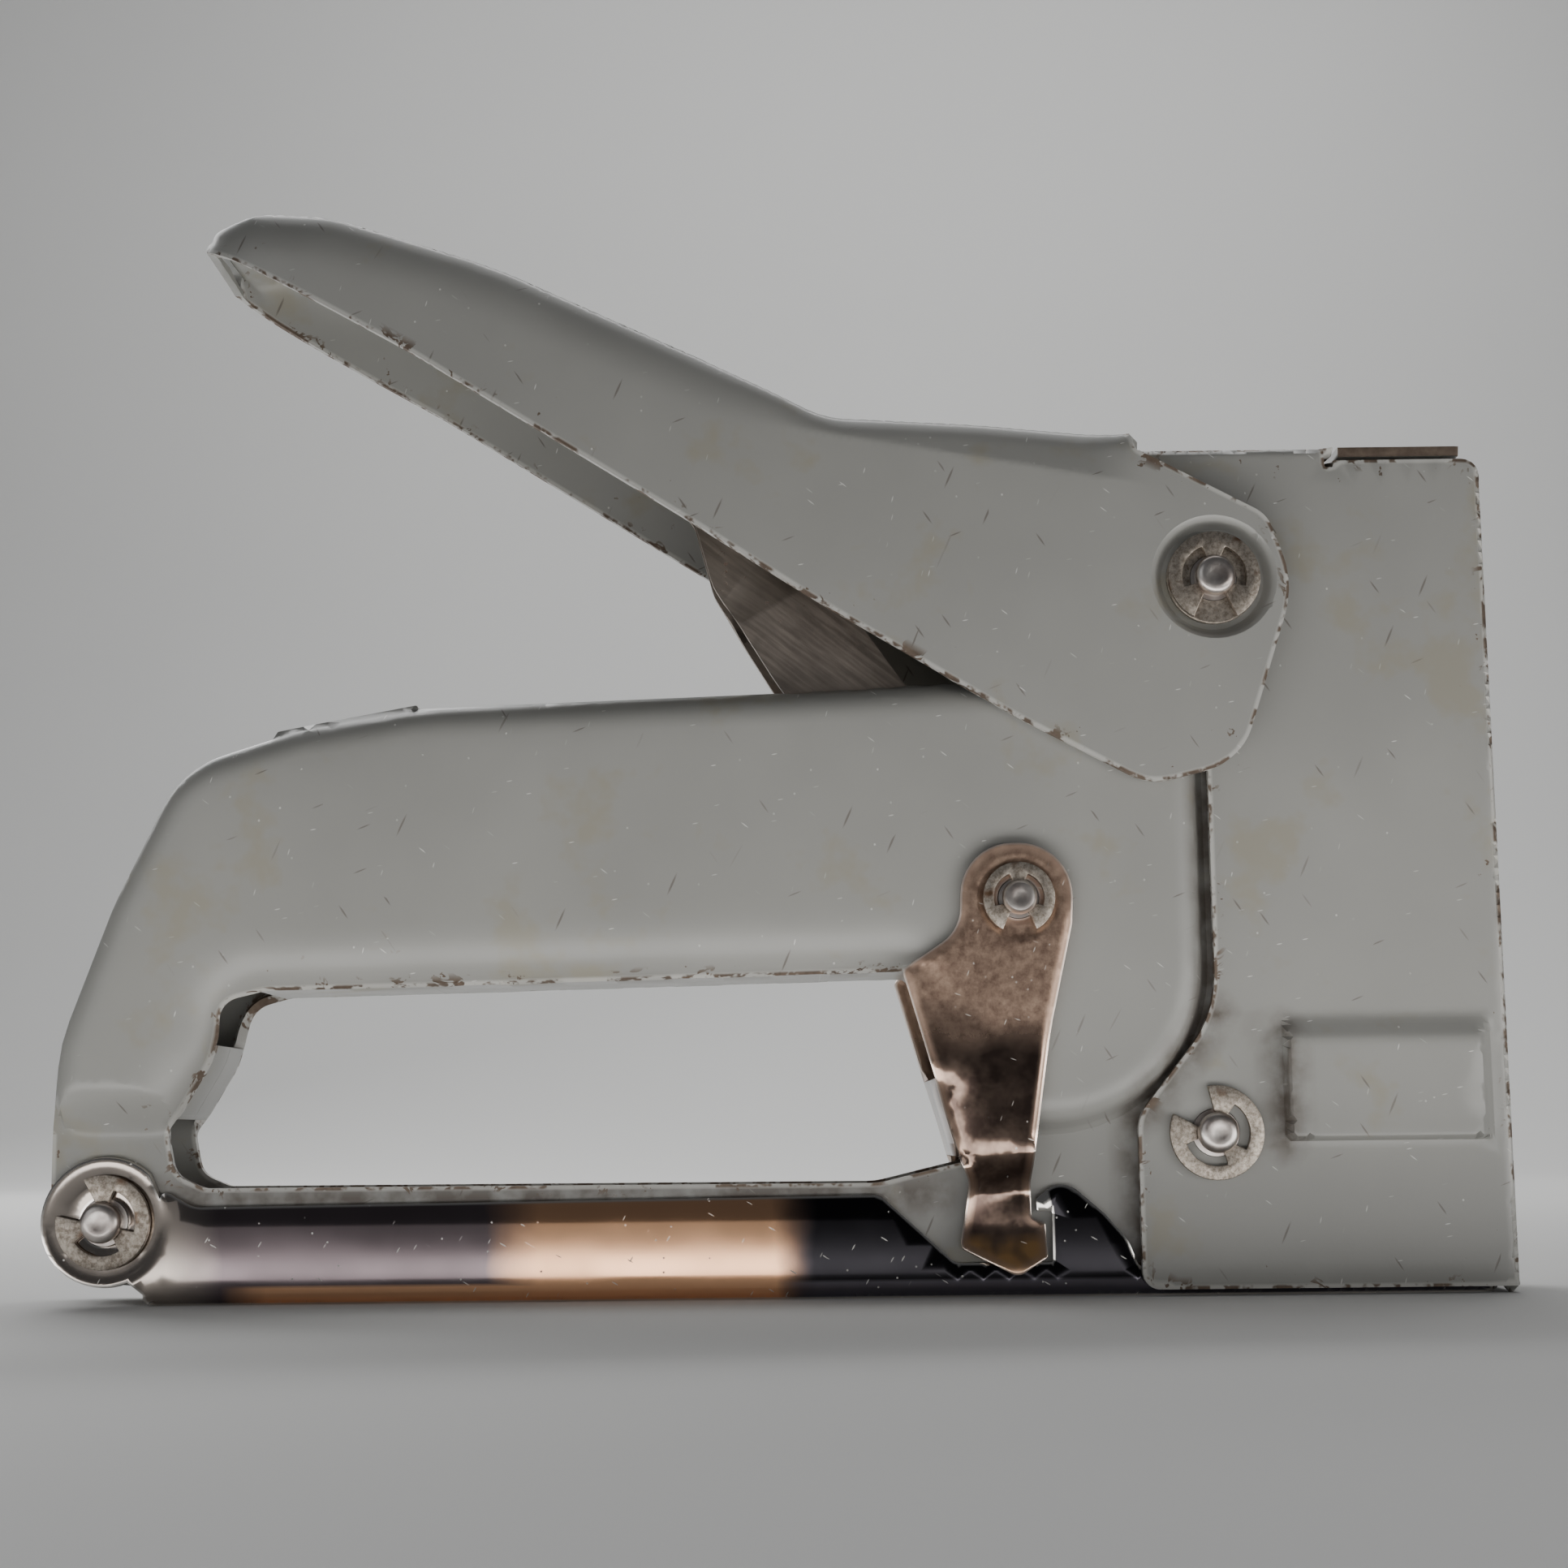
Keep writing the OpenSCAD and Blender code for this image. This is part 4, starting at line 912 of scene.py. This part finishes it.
def latch_nickel(settings):
    """Satin plate with painted light: a lit, coppery upper part and a darker lower part that stands for a dark
    reflection.
    """
    f = Finish("latch_nickel_finish", settings.latch, 1.0, 0.3)
    z = f.axis("Z")
    mottled = f.noise(1.1, 4.0, rough=0.7)
    upper = f.mix(f.ramp(mottled, 0.32, 0.70), (0.33, 0.22, 0.165), tuple(settings.latch))
    lower = f.mix(f.ramp(f.noise(4.0, 3.0, rough=0.7), 0.4, 0.65), (0.13, 0.09, 0.075), (0.30, 0.215, 0.17))
    # painted light: the lit upper part fades into the darker lower part, a painted dark reflection
    fade = f.ramp(f.math("ADD", z, f.both(f.noise(9, 2.0), 8.0)), 38.0, 32.5)
    colour = f.mix(fade, upper, lower)
    foot = f.both(f.ramp(z, 7.6, 6.2), f.ramp(f.noise(5.0, 2.0), 0.35, 0.5))
    colour = f.mix(foot, colour, (0.85, 0.50, 0.22))
    # a lighter coppery rim, and a painted highlight: a bright glint on the very edge
    rim = f.ramp(f.stored("edge"), 1.2, 0.5)
    colour = f.mix(f.both(rim, 0.6), colour, (0.72, 0.50, 0.38))
    bright = f.ramp(f.stored("edge"), 0.28, 0.1)
    colour = f.mix(f.both(bright, 0.7), colour, (0.85, 0.75, 0.68))
    speck = f.marks((0.24, 1.4, 20, 0.006), (0.24, 1.5, -70, 0.006), (0.45, 0.5, 0, 0.006))
    colour = f.mix(f.both(speck, 0.7), colour, (0.78, 0.76, 0.72))
    rough = f.math("ADD", f.blend(fade, f.blend(mottled, 0.3, 0.5), 0.16), f.both(speck, 0.3))
    f.bump(f.math("ADD", f.both(mottled, 0.3), f.both(f.noise(3, 1.0), 0.5)), 0.14, 0.05)
    return f.apply(colour, rough)


def bare_steel(settings, name="bare_steel", colour=(0.50, 0.43, 0.37), rust=0.64, roughness=0.42):
    """Unpainted pressed steel: cloudy, faintly brushed, with rust specks."""
    f = Finish(name + "_finish", colour, 1.0, roughness)
    brushed = f.noise(1.0, 3.0, f.grain(0.5, 7.0, -52))
    tone = f.mix(f.ramp(f.noise(9, 4.0, rough=0.6), 0.3, 0.7), tuple(c * 0.68 for c in colour), colour)
    tone = f.mix(f.both(f.ramp(brushed, 0.4, 0.7), 0.35), tone, tuple(min(1, c * 1.4) for c in colour))
    spots = f.both(f.ramp(f.noise(1.5, 4.0, rough=0.7), rust, rust + 0.04), f.ramp(f.noise(9, 1.0), 0.42, 0.55))
    tone = f.mix(spots, tone, (0.10, 0.042, 0.02))
    rough = f.math("ADD", f.blend(brushed, roughness - 0.1, roughness + 0.12), f.both(spots, 0.35))
    f.bump(f.math("SUBTRACT", f.both(brushed, 0.3), f.both(spots, 0.5)), 0.2, 0.05)
    return f.apply(tone, rough, f.math("SUBTRACT", 1.0, f.both(spots, 0.8)))


def ring_steel(settings):
    """Blackened spring steel rubbed bright and mottled on its faces."""
    f = Finish("ring_steel_finish", (0.42, 0.37, 0.31), 1.0, 0.45)
    mottled = f.noise(0.55, 4.0, rough=0.75)
    tone = f.mix(f.ramp(mottled, 0.38, 0.62), (0.26, 0.22, 0.18), (0.58, 0.52, 0.45))
    tone = f.mix(f.ramp(f.noise(3.5, 2.0), 0.62, 0.7), tone, (0.20, 0.12, 0.075))
    f.bump(mottled, 0.3, 0.06)
    return f.apply(tone, f.blend(mottled, 0.58, 0.34))


def pin_steel(settings):
    """Turned and plated pin stock with a soft satin."""
    f = Finish("pin_steel_finish", (0.62, 0.57, 0.53), 1.0, 0.32)
    fine = f.noise(0.5, 3.0)
    tone = f.mix(f.ramp(f.noise(2.2, 3.0), 0.35, 0.7), (0.46, 0.40, 0.37), (0.72, 0.68, 0.64))
    f.bump(fine, 0.15, 0.03)
    return f.apply(tone, f.blend(fine, 0.26, 0.42))


def spring_wire(settings):
    """Oil-dark wire with bright rub marks."""
    f = Finish("spring_wire_finish", (0.14, 0.13, 0.125), 1.0, 0.36)
    worn = f.noise(1.6, 3.0)
    tone = f.mix(f.ramp(worn, 0.5, 0.68), (0.09, 0.083, 0.078), (0.34, 0.32, 0.30))
    f.bump(worn, 0.15, 0.04)
    return f.apply(tone, f.blend(worn, 0.3, 0.45))


def bumper_rubber(settings):
    """Dusty black moulded rubber."""
    f = Finish("bumper_rubber_finish", (0.025, 0.024, 0.023), 0.0, 0.8)
    dust = f.noise(2.0, 4.0)
    tone = f.mix(f.ramp(dust, 0.5, 0.75), (0.02, 0.019, 0.018), (0.075, 0.07, 0.065))
    f.bump(f.noise(0.6, 2.0), 0.3, 0.06)
    return f.apply(tone, f.blend(dust, 0.7, 0.92))


# ---------- placing ----------
def place(piece, material, body, slot, *nodes):
    """Finishes a piece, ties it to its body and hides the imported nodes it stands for."""
    piece.data.materials.clear()
    piece.data.materials.append(material)
    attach(piece, body)
    if nodes:
        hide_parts(*nodes)


def coat(node, material):
    """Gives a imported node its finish."""
    piece = frame["nodes"][node]
    if not piece.data.materials:
        piece.data.materials.append(material)
    for slot in piece.material_slots:
        slot.material = material


def get_finish(name, maker):
    return bpy.data.materials.get(name + "_finish") or maker(bpy.context.scene.tacker_finish)


def enamel():
    """The paint that the body, head and lever share."""
    return get_finish("grey_enamel", grey_enamel)


# ---------- settings ----------
class TackerFinish(bpy.types.PropertyGroup):
    paint: bpy.props.FloatVectorProperty(
        name="Paint", description="Colour of the baked enamel on the body, head and lever",
        subtype="COLOR", size=3, min=0, max=1, default=(0.345, 0.343, 0.322))
    # the plate's purple-grey tint is a painted reflection at the rear
    chrome: bpy.props.FloatVectorProperty(
        name="Chrome", description="Tint of the plated magazine at its rear end",
        subtype="COLOR", size=3, min=0, max=1, default=(0.19, 0.155, 0.165))
    # the tint of the lit upper part of the latch, painted lighter than its lower part
    latch: bpy.props.FloatVectorProperty(
        name="Latch", description="Tint of the latch's upper part",
        subtype="COLOR", size=3, min=0, max=1, default=(0.56, 0.40, 0.30))


class TackerStage(bpy.types.PropertyGroup):
    camera_distance: bpy.props.FloatProperty(
        name="Camera distance", description="Distance from the tool's middle plane to the camera",
        unit="LENGTH", default=0.3045, min=0.1)
    camera_height: bpy.props.FloatProperty(
        name="Camera height", description="Height of the camera above the floor",
        unit="LENGTH", default=0.0194, min=0.0)
    camera_tilt: bpy.props.FloatProperty(
        name="Camera tilt", description="How far the camera looks up", subtype="ANGLE",
        default=math.radians(8.03))
    camera_roll: bpy.props.FloatProperty(
        name="Camera roll", description="Turn of the camera about its own line of sight", subtype="ANGLE",
        default=math.radians(-0.62))
    lens: bpy.props.FloatProperty(
        name="Lens", description="Focal length of the camera, in millimetres", default=56.78, min=10)
    key_power: bpy.props.FloatProperty(
        name="Key light", description="Power of the soft lights low in front, in watts", default=0.8)
    fill_power: bpy.props.FloatProperty(
        name="Fill light", description="Power of the weak light on the left, in watts", default=0.9)


# ---------- operators ----------
class TACKER_OT_body_shells(bpy.types.Operator):
    """Press the two halves of the grip, with their bulge, flange and finger opening."""

    bl_idname = "tacker.body_shells"
    bl_label = "Body shells"

    def execute(self, context):
        rings = (0.2, 0.5, 0.9, 1.4, 2.0, 2.7, 3.5, 4.4)
        guides = [(dense(closed(BODY_OUTLINE), 1.6, False), rings)]
        guides.append((dense(closed(OPENING), 1.0, False), tuple(-r for r in rings) + (-5.4, -6.4, -7.5)))
        guides += [(dense(line, 1.0, False), rings + (5.4, 6.4, 0.0, -0.3, -0.8)) for line in FLANGE_SIDE]
        holes = [OPENING] + [hole(c) for c in (PIVOT, FRONT_PIN, REAR_PIN, LATCH_PIN)]
        # painted shade with soiling along the groove round the head and along the lower strip
        shade_and_soil_lines = [closed(HEAD_OUTLINE_FAR), [(REAR + 14, 12.2), (LATCH_PIN[0] - 10, 12.0)]]
        wear = stretches(BODY_OUTLINE, lambda x, z: z < FOOT or x > PIVOT[0] - 7) + [closed(OPENING)]
        for name, node, side in (("body_half_near", "body_shell_left", -1), ("body_half_far", "body_shell_right", 1)):
            pressing = Pressing()
            pressing.add(BODY_OUTLINE, holes, body_height, guides, side, body_fold, 3.0, wear, shade_and_soil_lines)
            place(pressing.finish(name, SHEET, weld=False), enamel(), "frame", "grey_paint", node)
        return {"FINISHED"}


class TACKER_OT_head(bpy.types.Operator):
    """Fold the upright head with its pockets, top flanges and rounded front."""

    bl_idname = "tacker.head"
    bl_label = "Head"

    def execute(self, context):
        pressing = Pressing()
        pocket = dense(closed(POCKET), 1.0, False)
        front = dense([(FRONT, HEAD_LOW), (FRONT, HEAD_TOP - 3)], 1.5, False)
        top = dense([(FRONT - 4, HEAD_TOP), (PIVOT[0] - 8, HEAD_TOP)], 1.5, False)
        rows = [(pocket, (0.1, 0.3, 0.6, 0.95, 1.6, 2.4, 0.0, -0.25)), (front, (0.2, 0.5, 0.9, 1.3, 1.7)),
                (dense([POCKET[2], POCKET[3]], 1.0, False), (-0.8, -1.4, -1.9, -2.4, -2.9, 0.5, 1.0, 1.6)),
                (top, (0.2, 0.45, 0.8, 1.2, 1.5))]
        holes = [hole(c) for c in (PIVOT, FRONT_PIN)]
        wear = [closed(HEAD_OUTLINE_NEAR), [(FRONT - 0.4, 1), (FRONT - 0.4, 98)]]
        # painted shade with soiling along the pocket's left edge and the head's rear edge
        shade_and_soil_lines = [[POCKET[3], POCKET[0]], list(HEAD_EDGE)]
        pressing.add(HEAD_OUTLINE_NEAR, holes, head_height, rows, -1, near_head_fold, 3.2, wear, shade_and_soil_lines)
        pressing.add(HEAD_OUTLINE_FAR, holes, far_head_height, rows, 1, far_head_fold, 3.2, wear, shade_and_soil_lines)
        place(pressing.finish("head_fold", SHEET, 0.22), enamel(), "frame", "grey_paint", "head_housing")
        return {"FINISHED"}


class TACKER_OT_lever(bpy.types.Operator):
    """Press the hollow squeeze lever with its rolled back, flare and pivot dishes."""

    bl_idname = "tacker.lever"
    bl_label = "Lever"

    def execute(self, context):
        back = [dense(line, 1.2, False) for line in LEVER_BACK]
        guides = [(line, (0.2, 0.5, 0.9, 1.5, 2.2, 3.0, 3.9, 4.9, 6.0, 7.2)) for line in back]
        crease = [(CREASE_START[0] - 6, CREASE_START[1] + 1), (PIVOT[0] - 9, CREASE_START[1] - CREASE_FALL * 40)]
        guides.append((dense(crease, 1.0, False), (-0.8, -0.3, 0.0, 0.3, 0.8, 1.6)))
        guides += ring_rows(PIVOT, 8, 4.5, 6.2, 6.6, 6.9, 7.2, 7.6, 8.4)
        guides.append((dense([(PIVOT[0] - 100, PIVOT[1] + 60), (PIVOT[0] - 100, PIVOT[1] + 20)], 1.5, False),
                       (-2, -5, -8, -11, -13, -15, -17, -18.5, -19.8, -21, -22, -22.8, -23.4)))
        wear = stretches(LEVER_OUTLINE, lambda x, z: not on_lever_back(x, z))
        pressing = two_sided(LEVER_OUTLINE, PIVOT, lever_height, guides, lever_fold, 3.0, wear)
        place(pressing.finish("squeeze_lever", LEVER_SHEET, 0.3), enamel(), "lever", "grey_paint", "lever")
        return {"FINISHED"}


class TACKER_OT_magazine(bpy.types.Operator):
    """Fold the chromed channel that carries the staples, with its ears and hooks."""

    bl_idname = "tacker.magazine"
    bl_label = "Magazine"

    def execute(self, context):
        bottom = dense([(REAR_PIN[0] + 6, 0), (CHANNEL_END, 0)], 1.5, False)
        guides = [(bottom, (0.15, 0.35, 0.65, 1.0, 1.4))]
        guides += ring_rows(REAR_PIN, 8, 4.6, 6.2, 6.9, 7.5, 8.1, 8.8)
        pressing = two_sided(CHANNEL_OUTLINE, REAR_PIN, channel_height, guides, channel_fold)
        chrome = get_finish("chrome_plate", chrome_plate)
        place(pressing.finish("magazine_body", CHANNEL_SHEET, 0.1), chrome, "magazine", "chrome_plate",
              "magazine_channel")
        return {"FINISHED"}


class TACKER_OT_latch(bpy.types.Operator):
    """Form the latch: two bevelled arms, twisted necks, flared feet and the cross web."""

    bl_idname = "tacker.latch"
    bl_label = "Latch"

    def execute(self, context):
        guides = [(dense(closed(ARM_OUTLINE), 0.9, False), (0.3, 0.6, 0.95, 1.3, 1.8))]
        guides += ring_rows(LATCH_PIN, 10, 3.4, 4.2, 4.55, 4.9, 5.4)
        neck = dense(at(LATCH_PIN, (-8, -30), (4, -30)), 0.8, False)
        guides.append((neck, (0, -0.8, -1.6, -2.4, -3.2, -4, -4.8, -5.6, -8.5, -9.5, -10.5, -11.5)))
        pressing = two_sided(ARM_OUTLINE, LATCH_PIN, arm_height, guides, arm_fold, 2.0)
        nickel = get_finish("latch_nickel", latch_nickel)
        place(pressing.finish("latch_yoke", LATCH_SHEET, 0.2), nickel, "latch", "latch_steel", "latch_lever")
        return {"FINISHED"}


class TACKER_OT_rocker(bpy.types.Operator):
    """Form the bare steel rocker that carries the squeeze down to the plunger."""

    bl_idname = "tacker.rocker"
    bl_label = "Rocker"

    def execute(self, context):
        guides = [(dense(bend, 0.8, False), (-0.3, 0.0, 0.3)) for bend in (BEND_A, BEND_B)]
        pressing = two_sided(ROCKER_OUTLINE, LATCH_PIN, rocker_height, guides, rocker_fold, 2.5)
        steel = get_finish("bare_steel", bare_steel)
        place(pressing.finish("rocker_plates", SHEET, 0.1), steel, "rocker", "dull_steel", "rocker")
        return {"FINISHED"}


# node, radius, radius of the head
PINS = (("lever_pivot_pin", PIN, 4.3), ("latch_pin", LATCH_PIN_R, 3.8), ("front_pin", PIN, 4.3),
        ("rear_hinge_pin", PIN, 4.3))
# name, centre, diameter, pin's radius, half-width of its seat, direction of its mouth
LARGE_RING, SMALL_RING = 11.1, 8.5
RINGS = (("pivot_ring", PIVOT, LARGE_RING, PIN, 12.3, 270), ("front_ring", FRONT_PIN, LARGE_RING, PIN, 10.1, 128),
         ("rear_ring", REAR_PIN, LARGE_RING, PIN, 8.7, 143),
         ("latch_ring", LATCH_PIN, SMALL_RING, LATCH_PIN_R, 13.0, 270))


def ring_outline(radius, pin, mouth):
    """A retaining ring: a C with two wide pads beside the mouth and one opposite."""
    half = 33
    grip = pin - 0.45
    slot = radius * 0.70
    pads = ((half, half + 36), (160, 200), (360 - half - 36, 360 - half))
    outer = arc((0, 0), radius, mouth + half - 5, mouth + 360 - half + 5, 6)
    inner = []
    angle = 360 - half
    while angle >= half:
        inner.append((grip if any(a <= angle <= b for a, b in pads) else slot, mouth + angle))
        angle -= 3
    return outer + [(r * math.cos(math.radians(a)), r * math.sin(math.radians(a))) for r, a in inner]


class TACKER_OT_pins(bpy.types.Operator):
    """Turn the pins with domed ends, and stamp the washers and the C-shaped retaining rings."""

    bl_idname = "tacker.pins"
    bl_label = "Pins, washers and rings"

    def execute(self, context):
        steel = get_finish("pin_steel", pin_steel)
        for node, radius, head in PINS:
            low, high = node_box(node)
            end, back = low[1], high[1]
            tip = radius * 0.86
            profile = [(0, end + 0.16), (tip * 0.35, end + 0.12), (tip * 0.55, end), (tip * 0.8, end + 0.12),
                       (tip * 0.94, end + 0.42), (tip, end + 0.8), (tip, end + 1.45), (radius - 0.5, end + 1.5),
                       (radius - 0.5, end + 2.65), (radius, end + 2.7), (radius, back - 1.5), (head, back - 1.5),
                       (head, back - 0.7), (head * 0.93, back - 0.35), (head * 0.7, back - 0.1), (0, back)]
            piece = lathe(node + "_turned", profile, node_middle(node))
            settle(piece, 0)
            place(piece, steel, "frame", "zinc_steel", node)
        self.washers(steel)
        self.rings()
        return {"FINISHED"}

    def washers(self, steel):
        low, high = node_box("pivot_washers")
        outer = (high[0] - low[0]) / 2
        for name, y0, y1 in (("washer_near", low[1], low[1] + 0.8), ("washer_far", high[1] - 0.8, high[1])):
            profile = [(2.84, y0), (outer - 0.15, y0), (outer, y0 + 0.15), (outer, y1 - 0.15),
                       (outer - 0.15, y1), (2.84, y1)]
            piece = lathe(name, profile, PIVOT)
            settle(piece, 0)
            place(piece, get_finish("ring_steel", ring_steel), "frame", "zinc_steel",
                  *(["pivot_washers"] if name == "washer_near" else []))

    def rings(self):
        steel = get_finish("ring_steel", ring_steel)
        for name, centre, size, pin, y, mouth in RINGS:
            mesh = bmesh.new()
            outline = ring_outline(size / 2, pin, mouth)
            front = [mesh.verts.new((x * MM, -(y + 0.95) * MM, z * MM)) for x, z in at(centre, *outline)]
            face = mesh.faces.new(front)
            if face.normal.y > 0:
                face.normal_flip()
            thick = bmesh.ops.extrude_face_region(mesh, geom=[face])
            for v in (g for g in thick["geom"] if isinstance(g, bmesh.types.BMVert)):
                v.co.y += 0.9 * MM
            bmesh.ops.recalc_face_normals(mesh, faces=mesh.faces)
            piece = new_piece(name, mesh)
            settle(piece, 0.14)
            stands_for = {"pivot_ring": ["e_rings_large"], "latch_ring": ["e_ring_small"]}.get(name, [])
            place(piece, steel, "frame", "ring_steel", *stands_for)


# node, body, axis, radius, wire, turns, steps in a turn, sides, joint that works it, end of its box that stays put
SPRINGS = (("power_spring", "frame", 2, 6.5, 2.6, 8, 28, 10, "plunger_lift", 1),
           ("pusher_spring", "magazine", 0, 1.95, 0.6, 44, 16, 7, "pusher_slide", 0),
           ("latch_spring", "frame", 1, 4.13, 0.9, 3, 28, 8, None, 0))


class TACKER_OT_springs(bpy.types.Operator):
    """Wind the power spring, the pusher's spring and the latch spring."""

    bl_idname = "tacker.springs"
    bl_label = "Springs"

    def execute(self, context):
        finish = get_finish("spring_wire", spring_wire)
        for node, body, axis, radius, wire, turns, per_turn, sides, worked_by, fixed in SPRINGS:
            box = node_box(node)
            length = box[1][axis] - box[0][axis]
            direction = tuple(int(k == axis) for k in range(3))
            start, anchor = (box[0] + box[1]) / 2, (box[0] + box[1]) / 2
            start[axis], anchor[axis] = box[0][axis], box[fixed][axis]
            piece = coil(node + "_wound", start, direction, radius, wire, length, turns, per_turn, sides)
            place(piece, finish, body, "spring_steel", node)
            if worked_by:
                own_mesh(piece)
        return {"FINISHED"}


class TACKER_OT_inner_parts(bpy.types.Operator):
    """Finish the pieces that work inside: guide, plunger, blade, bumper, rail, pusher, rod and spacers."""

    bl_idname = "tacker.inner_parts"
    bl_label = "Inner parts"

    def execute(self, context):
        steel = get_finish("bare_steel", bare_steel)
        pins = get_finish("pin_steel", pin_steel)
        for node in ("front_guide", "plunger_block", "striker_blade", "spring_seat", "lever_pin_spacer",
                     "latch_pin_spacers", "front_pin_spacers", "rear_pin_spacer"):
            coat(node, steel)
        for node in ("staple_rail", "pusher", "pusher_guide_rod"):
            coat(node, pins)
        coat("bumper_block", get_finish("bumper_rubber", bumper_rubber))
        return {"FINISHED"}


class TACKER_OT_stage(bpy.types.Operator):
    """Set the pale floor, the soft lights and the camera."""

    bl_idname = "tacker.stage"
    bl_label = "Stage"

    def execute(self, context):
        settings = context.scene.tacker_stage
        self.floor()
        self.lights(settings)
        camera = bpy.data.objects.new("camera", bpy.data.cameras.new("camera"))
        camera.data.lens = settings.lens
        camera.data.sensor_width = 36
        camera.data.clip_start = 0.01
        camera.location = (0.00126, -settings.camera_distance, settings.camera_height)
        look = Euler((math.radians(90) + settings.camera_tilt, 0, 0)).to_matrix()
        camera.rotation_euler = (look @ Matrix.Rotation(settings.camera_roll, 3, "Z")).to_euler()
        context.scene.collection.objects.link(camera)
        context.scene.camera = camera
        return {"FINISHED"}

    def floor(self):
        """One sheet: a floor that curves up far behind the tool."""
        mesh = bmesh.new()
        profile = [(-3.0, 0.0), (0.7, 0.0)]
        profile += [(0.7 + 0.5 * math.sin(a), 0.5 - 0.5 * math.cos(a)) for a in np.radians(np.arange(6, 91, 6))]
        profile.append((1.2, 3.0))
        rows = [[mesh.verts.new((x, y, z)) for x in (-3.0, 3.0)] for y, z in profile]
        for low, high in zip(rows, rows[1:]):
            mesh.faces.new([low[0], low[1], high[1], high[0]])
        floor = new_piece("studio_floor", mesh)
        floor.data.shade_smooth()
        f = Finish("studio_paper_finish", (0.72, 0.72, 0.71), 0.0, 0.85)
        floor.data.materials.append(f.apply(f.mix(f.noise(300, 2.0), (0.70, 0.70, 0.69), (0.76, 0.76, 0.75))))

    def lights(self, settings):
        key, fill = settings.key_power, settings.fill_power
        # name, place, aim, width, height, power, colour
        rows = (("key", (0.32, -0.27, 0.03), (0.0, 0, 0.05), 0.26, 0.05, key * 0.34, (1.0, 0.98, 0.96)),
                ("low", (0.05, -0.072, 0.001), (0.05, -0.072, 1.0), 0.40, 0.06, key * 0.32, (1.0, 0.985, 0.97)),
                ("fill", (-0.5, -0.5, 0.3), (0, 0, 0.06), 0.5, 0.4, fill * 0.4, (0.95, 0.97, 1.0)),
                ("back", (0.1, 0.5, 0.8), (0, 1.1, 0.1), 0.9, 0.5, fill * 6, (1, 1, 1)),
                ("rear", (-0.35, 0.55, 0.45), (0, 0, 0.05), 0.5, 0.4, fill * 2.2, (1, 1, 1)),
                ("top", (0.0, 0.2, 0.75), (0, -0.1, 0.0), 0.6, 0.6, fill * 1.6, (1, 1, 1)))
        for name, spot, target, width, height, power, colour in rows:
            light = bpy.data.lights.new(name, "AREA")
            light.shape = "RECTANGLE"
            light.size, light.size_y = width, height
            light.energy = power
            light.color = colour
            lamp = bpy.data.objects.new(name, light)
            lamp.location = spot
            lamp.visible_camera = False
            aim = Vector(target) - Vector(spot)
            lamp.rotation_euler = aim.to_track_quat("-Z", "Y").to_euler()
            bpy.context.scene.collection.objects.link(lamp)
        world = bpy.data.worlds.new("soft_room")
        world.use_nodes = True
        background = world.node_tree.nodes["Background"]
        background.inputs["Color"].default_value = (0.86, 0.88, 0.92, 1)
        background.inputs["Strength"].default_value = 0.085
        bpy.context.scene.world = world


class TACKER_PT_panel(bpy.types.Panel):
    """Lists the pieces of the staple gun and their settings."""

    bl_idname = "TACKER_PT_panel"
    bl_label = "Staple gun"
    bl_space_type = "VIEW_3D"
    bl_region_type = "UI"
    bl_category = "Staple gun"

    def draw(self, context):
        for group in (context.scene.tacker_finish, context.scene.tacker_stage):
            for name in group.bl_rna.properties.keys():
                if name not in ("rna_type", "name"):
                    self.layout.prop(group, name)
        for operator in OPERATORS:
            self.layout.operator(operator.bl_idname)


OPERATORS = (TACKER_OT_stage, TACKER_OT_body_shells, TACKER_OT_head, TACKER_OT_lever, TACKER_OT_magazine,
             TACKER_OT_latch, TACKER_OT_rocker, TACKER_OT_pins, TACKER_OT_springs, TACKER_OT_inner_parts)
CLASSES = (TackerFinish, TackerStage) + OPERATORS + (TACKER_PT_panel,)


def register():
    for cls in CLASSES:
        bpy.utils.register_class(cls)
    bpy.types.Scene.tacker_finish = bpy.props.PointerProperty(type=TackerFinish)
    bpy.types.Scene.tacker_stage = bpy.props.PointerProperty(type=TackerStage)


def unregister():
    del bpy.types.Scene.tacker_stage
    del bpy.types.Scene.tacker_finish
    for cls in reversed(CLASSES):
        bpy.utils.unregister_class(cls)


def main():
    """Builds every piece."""
    register()
    for operator in OPERATORS:
        group, name = operator.bl_idname.split(".")
        getattr(getattr(bpy.ops, group), name)()


if __name__ == "__main__":
    main()
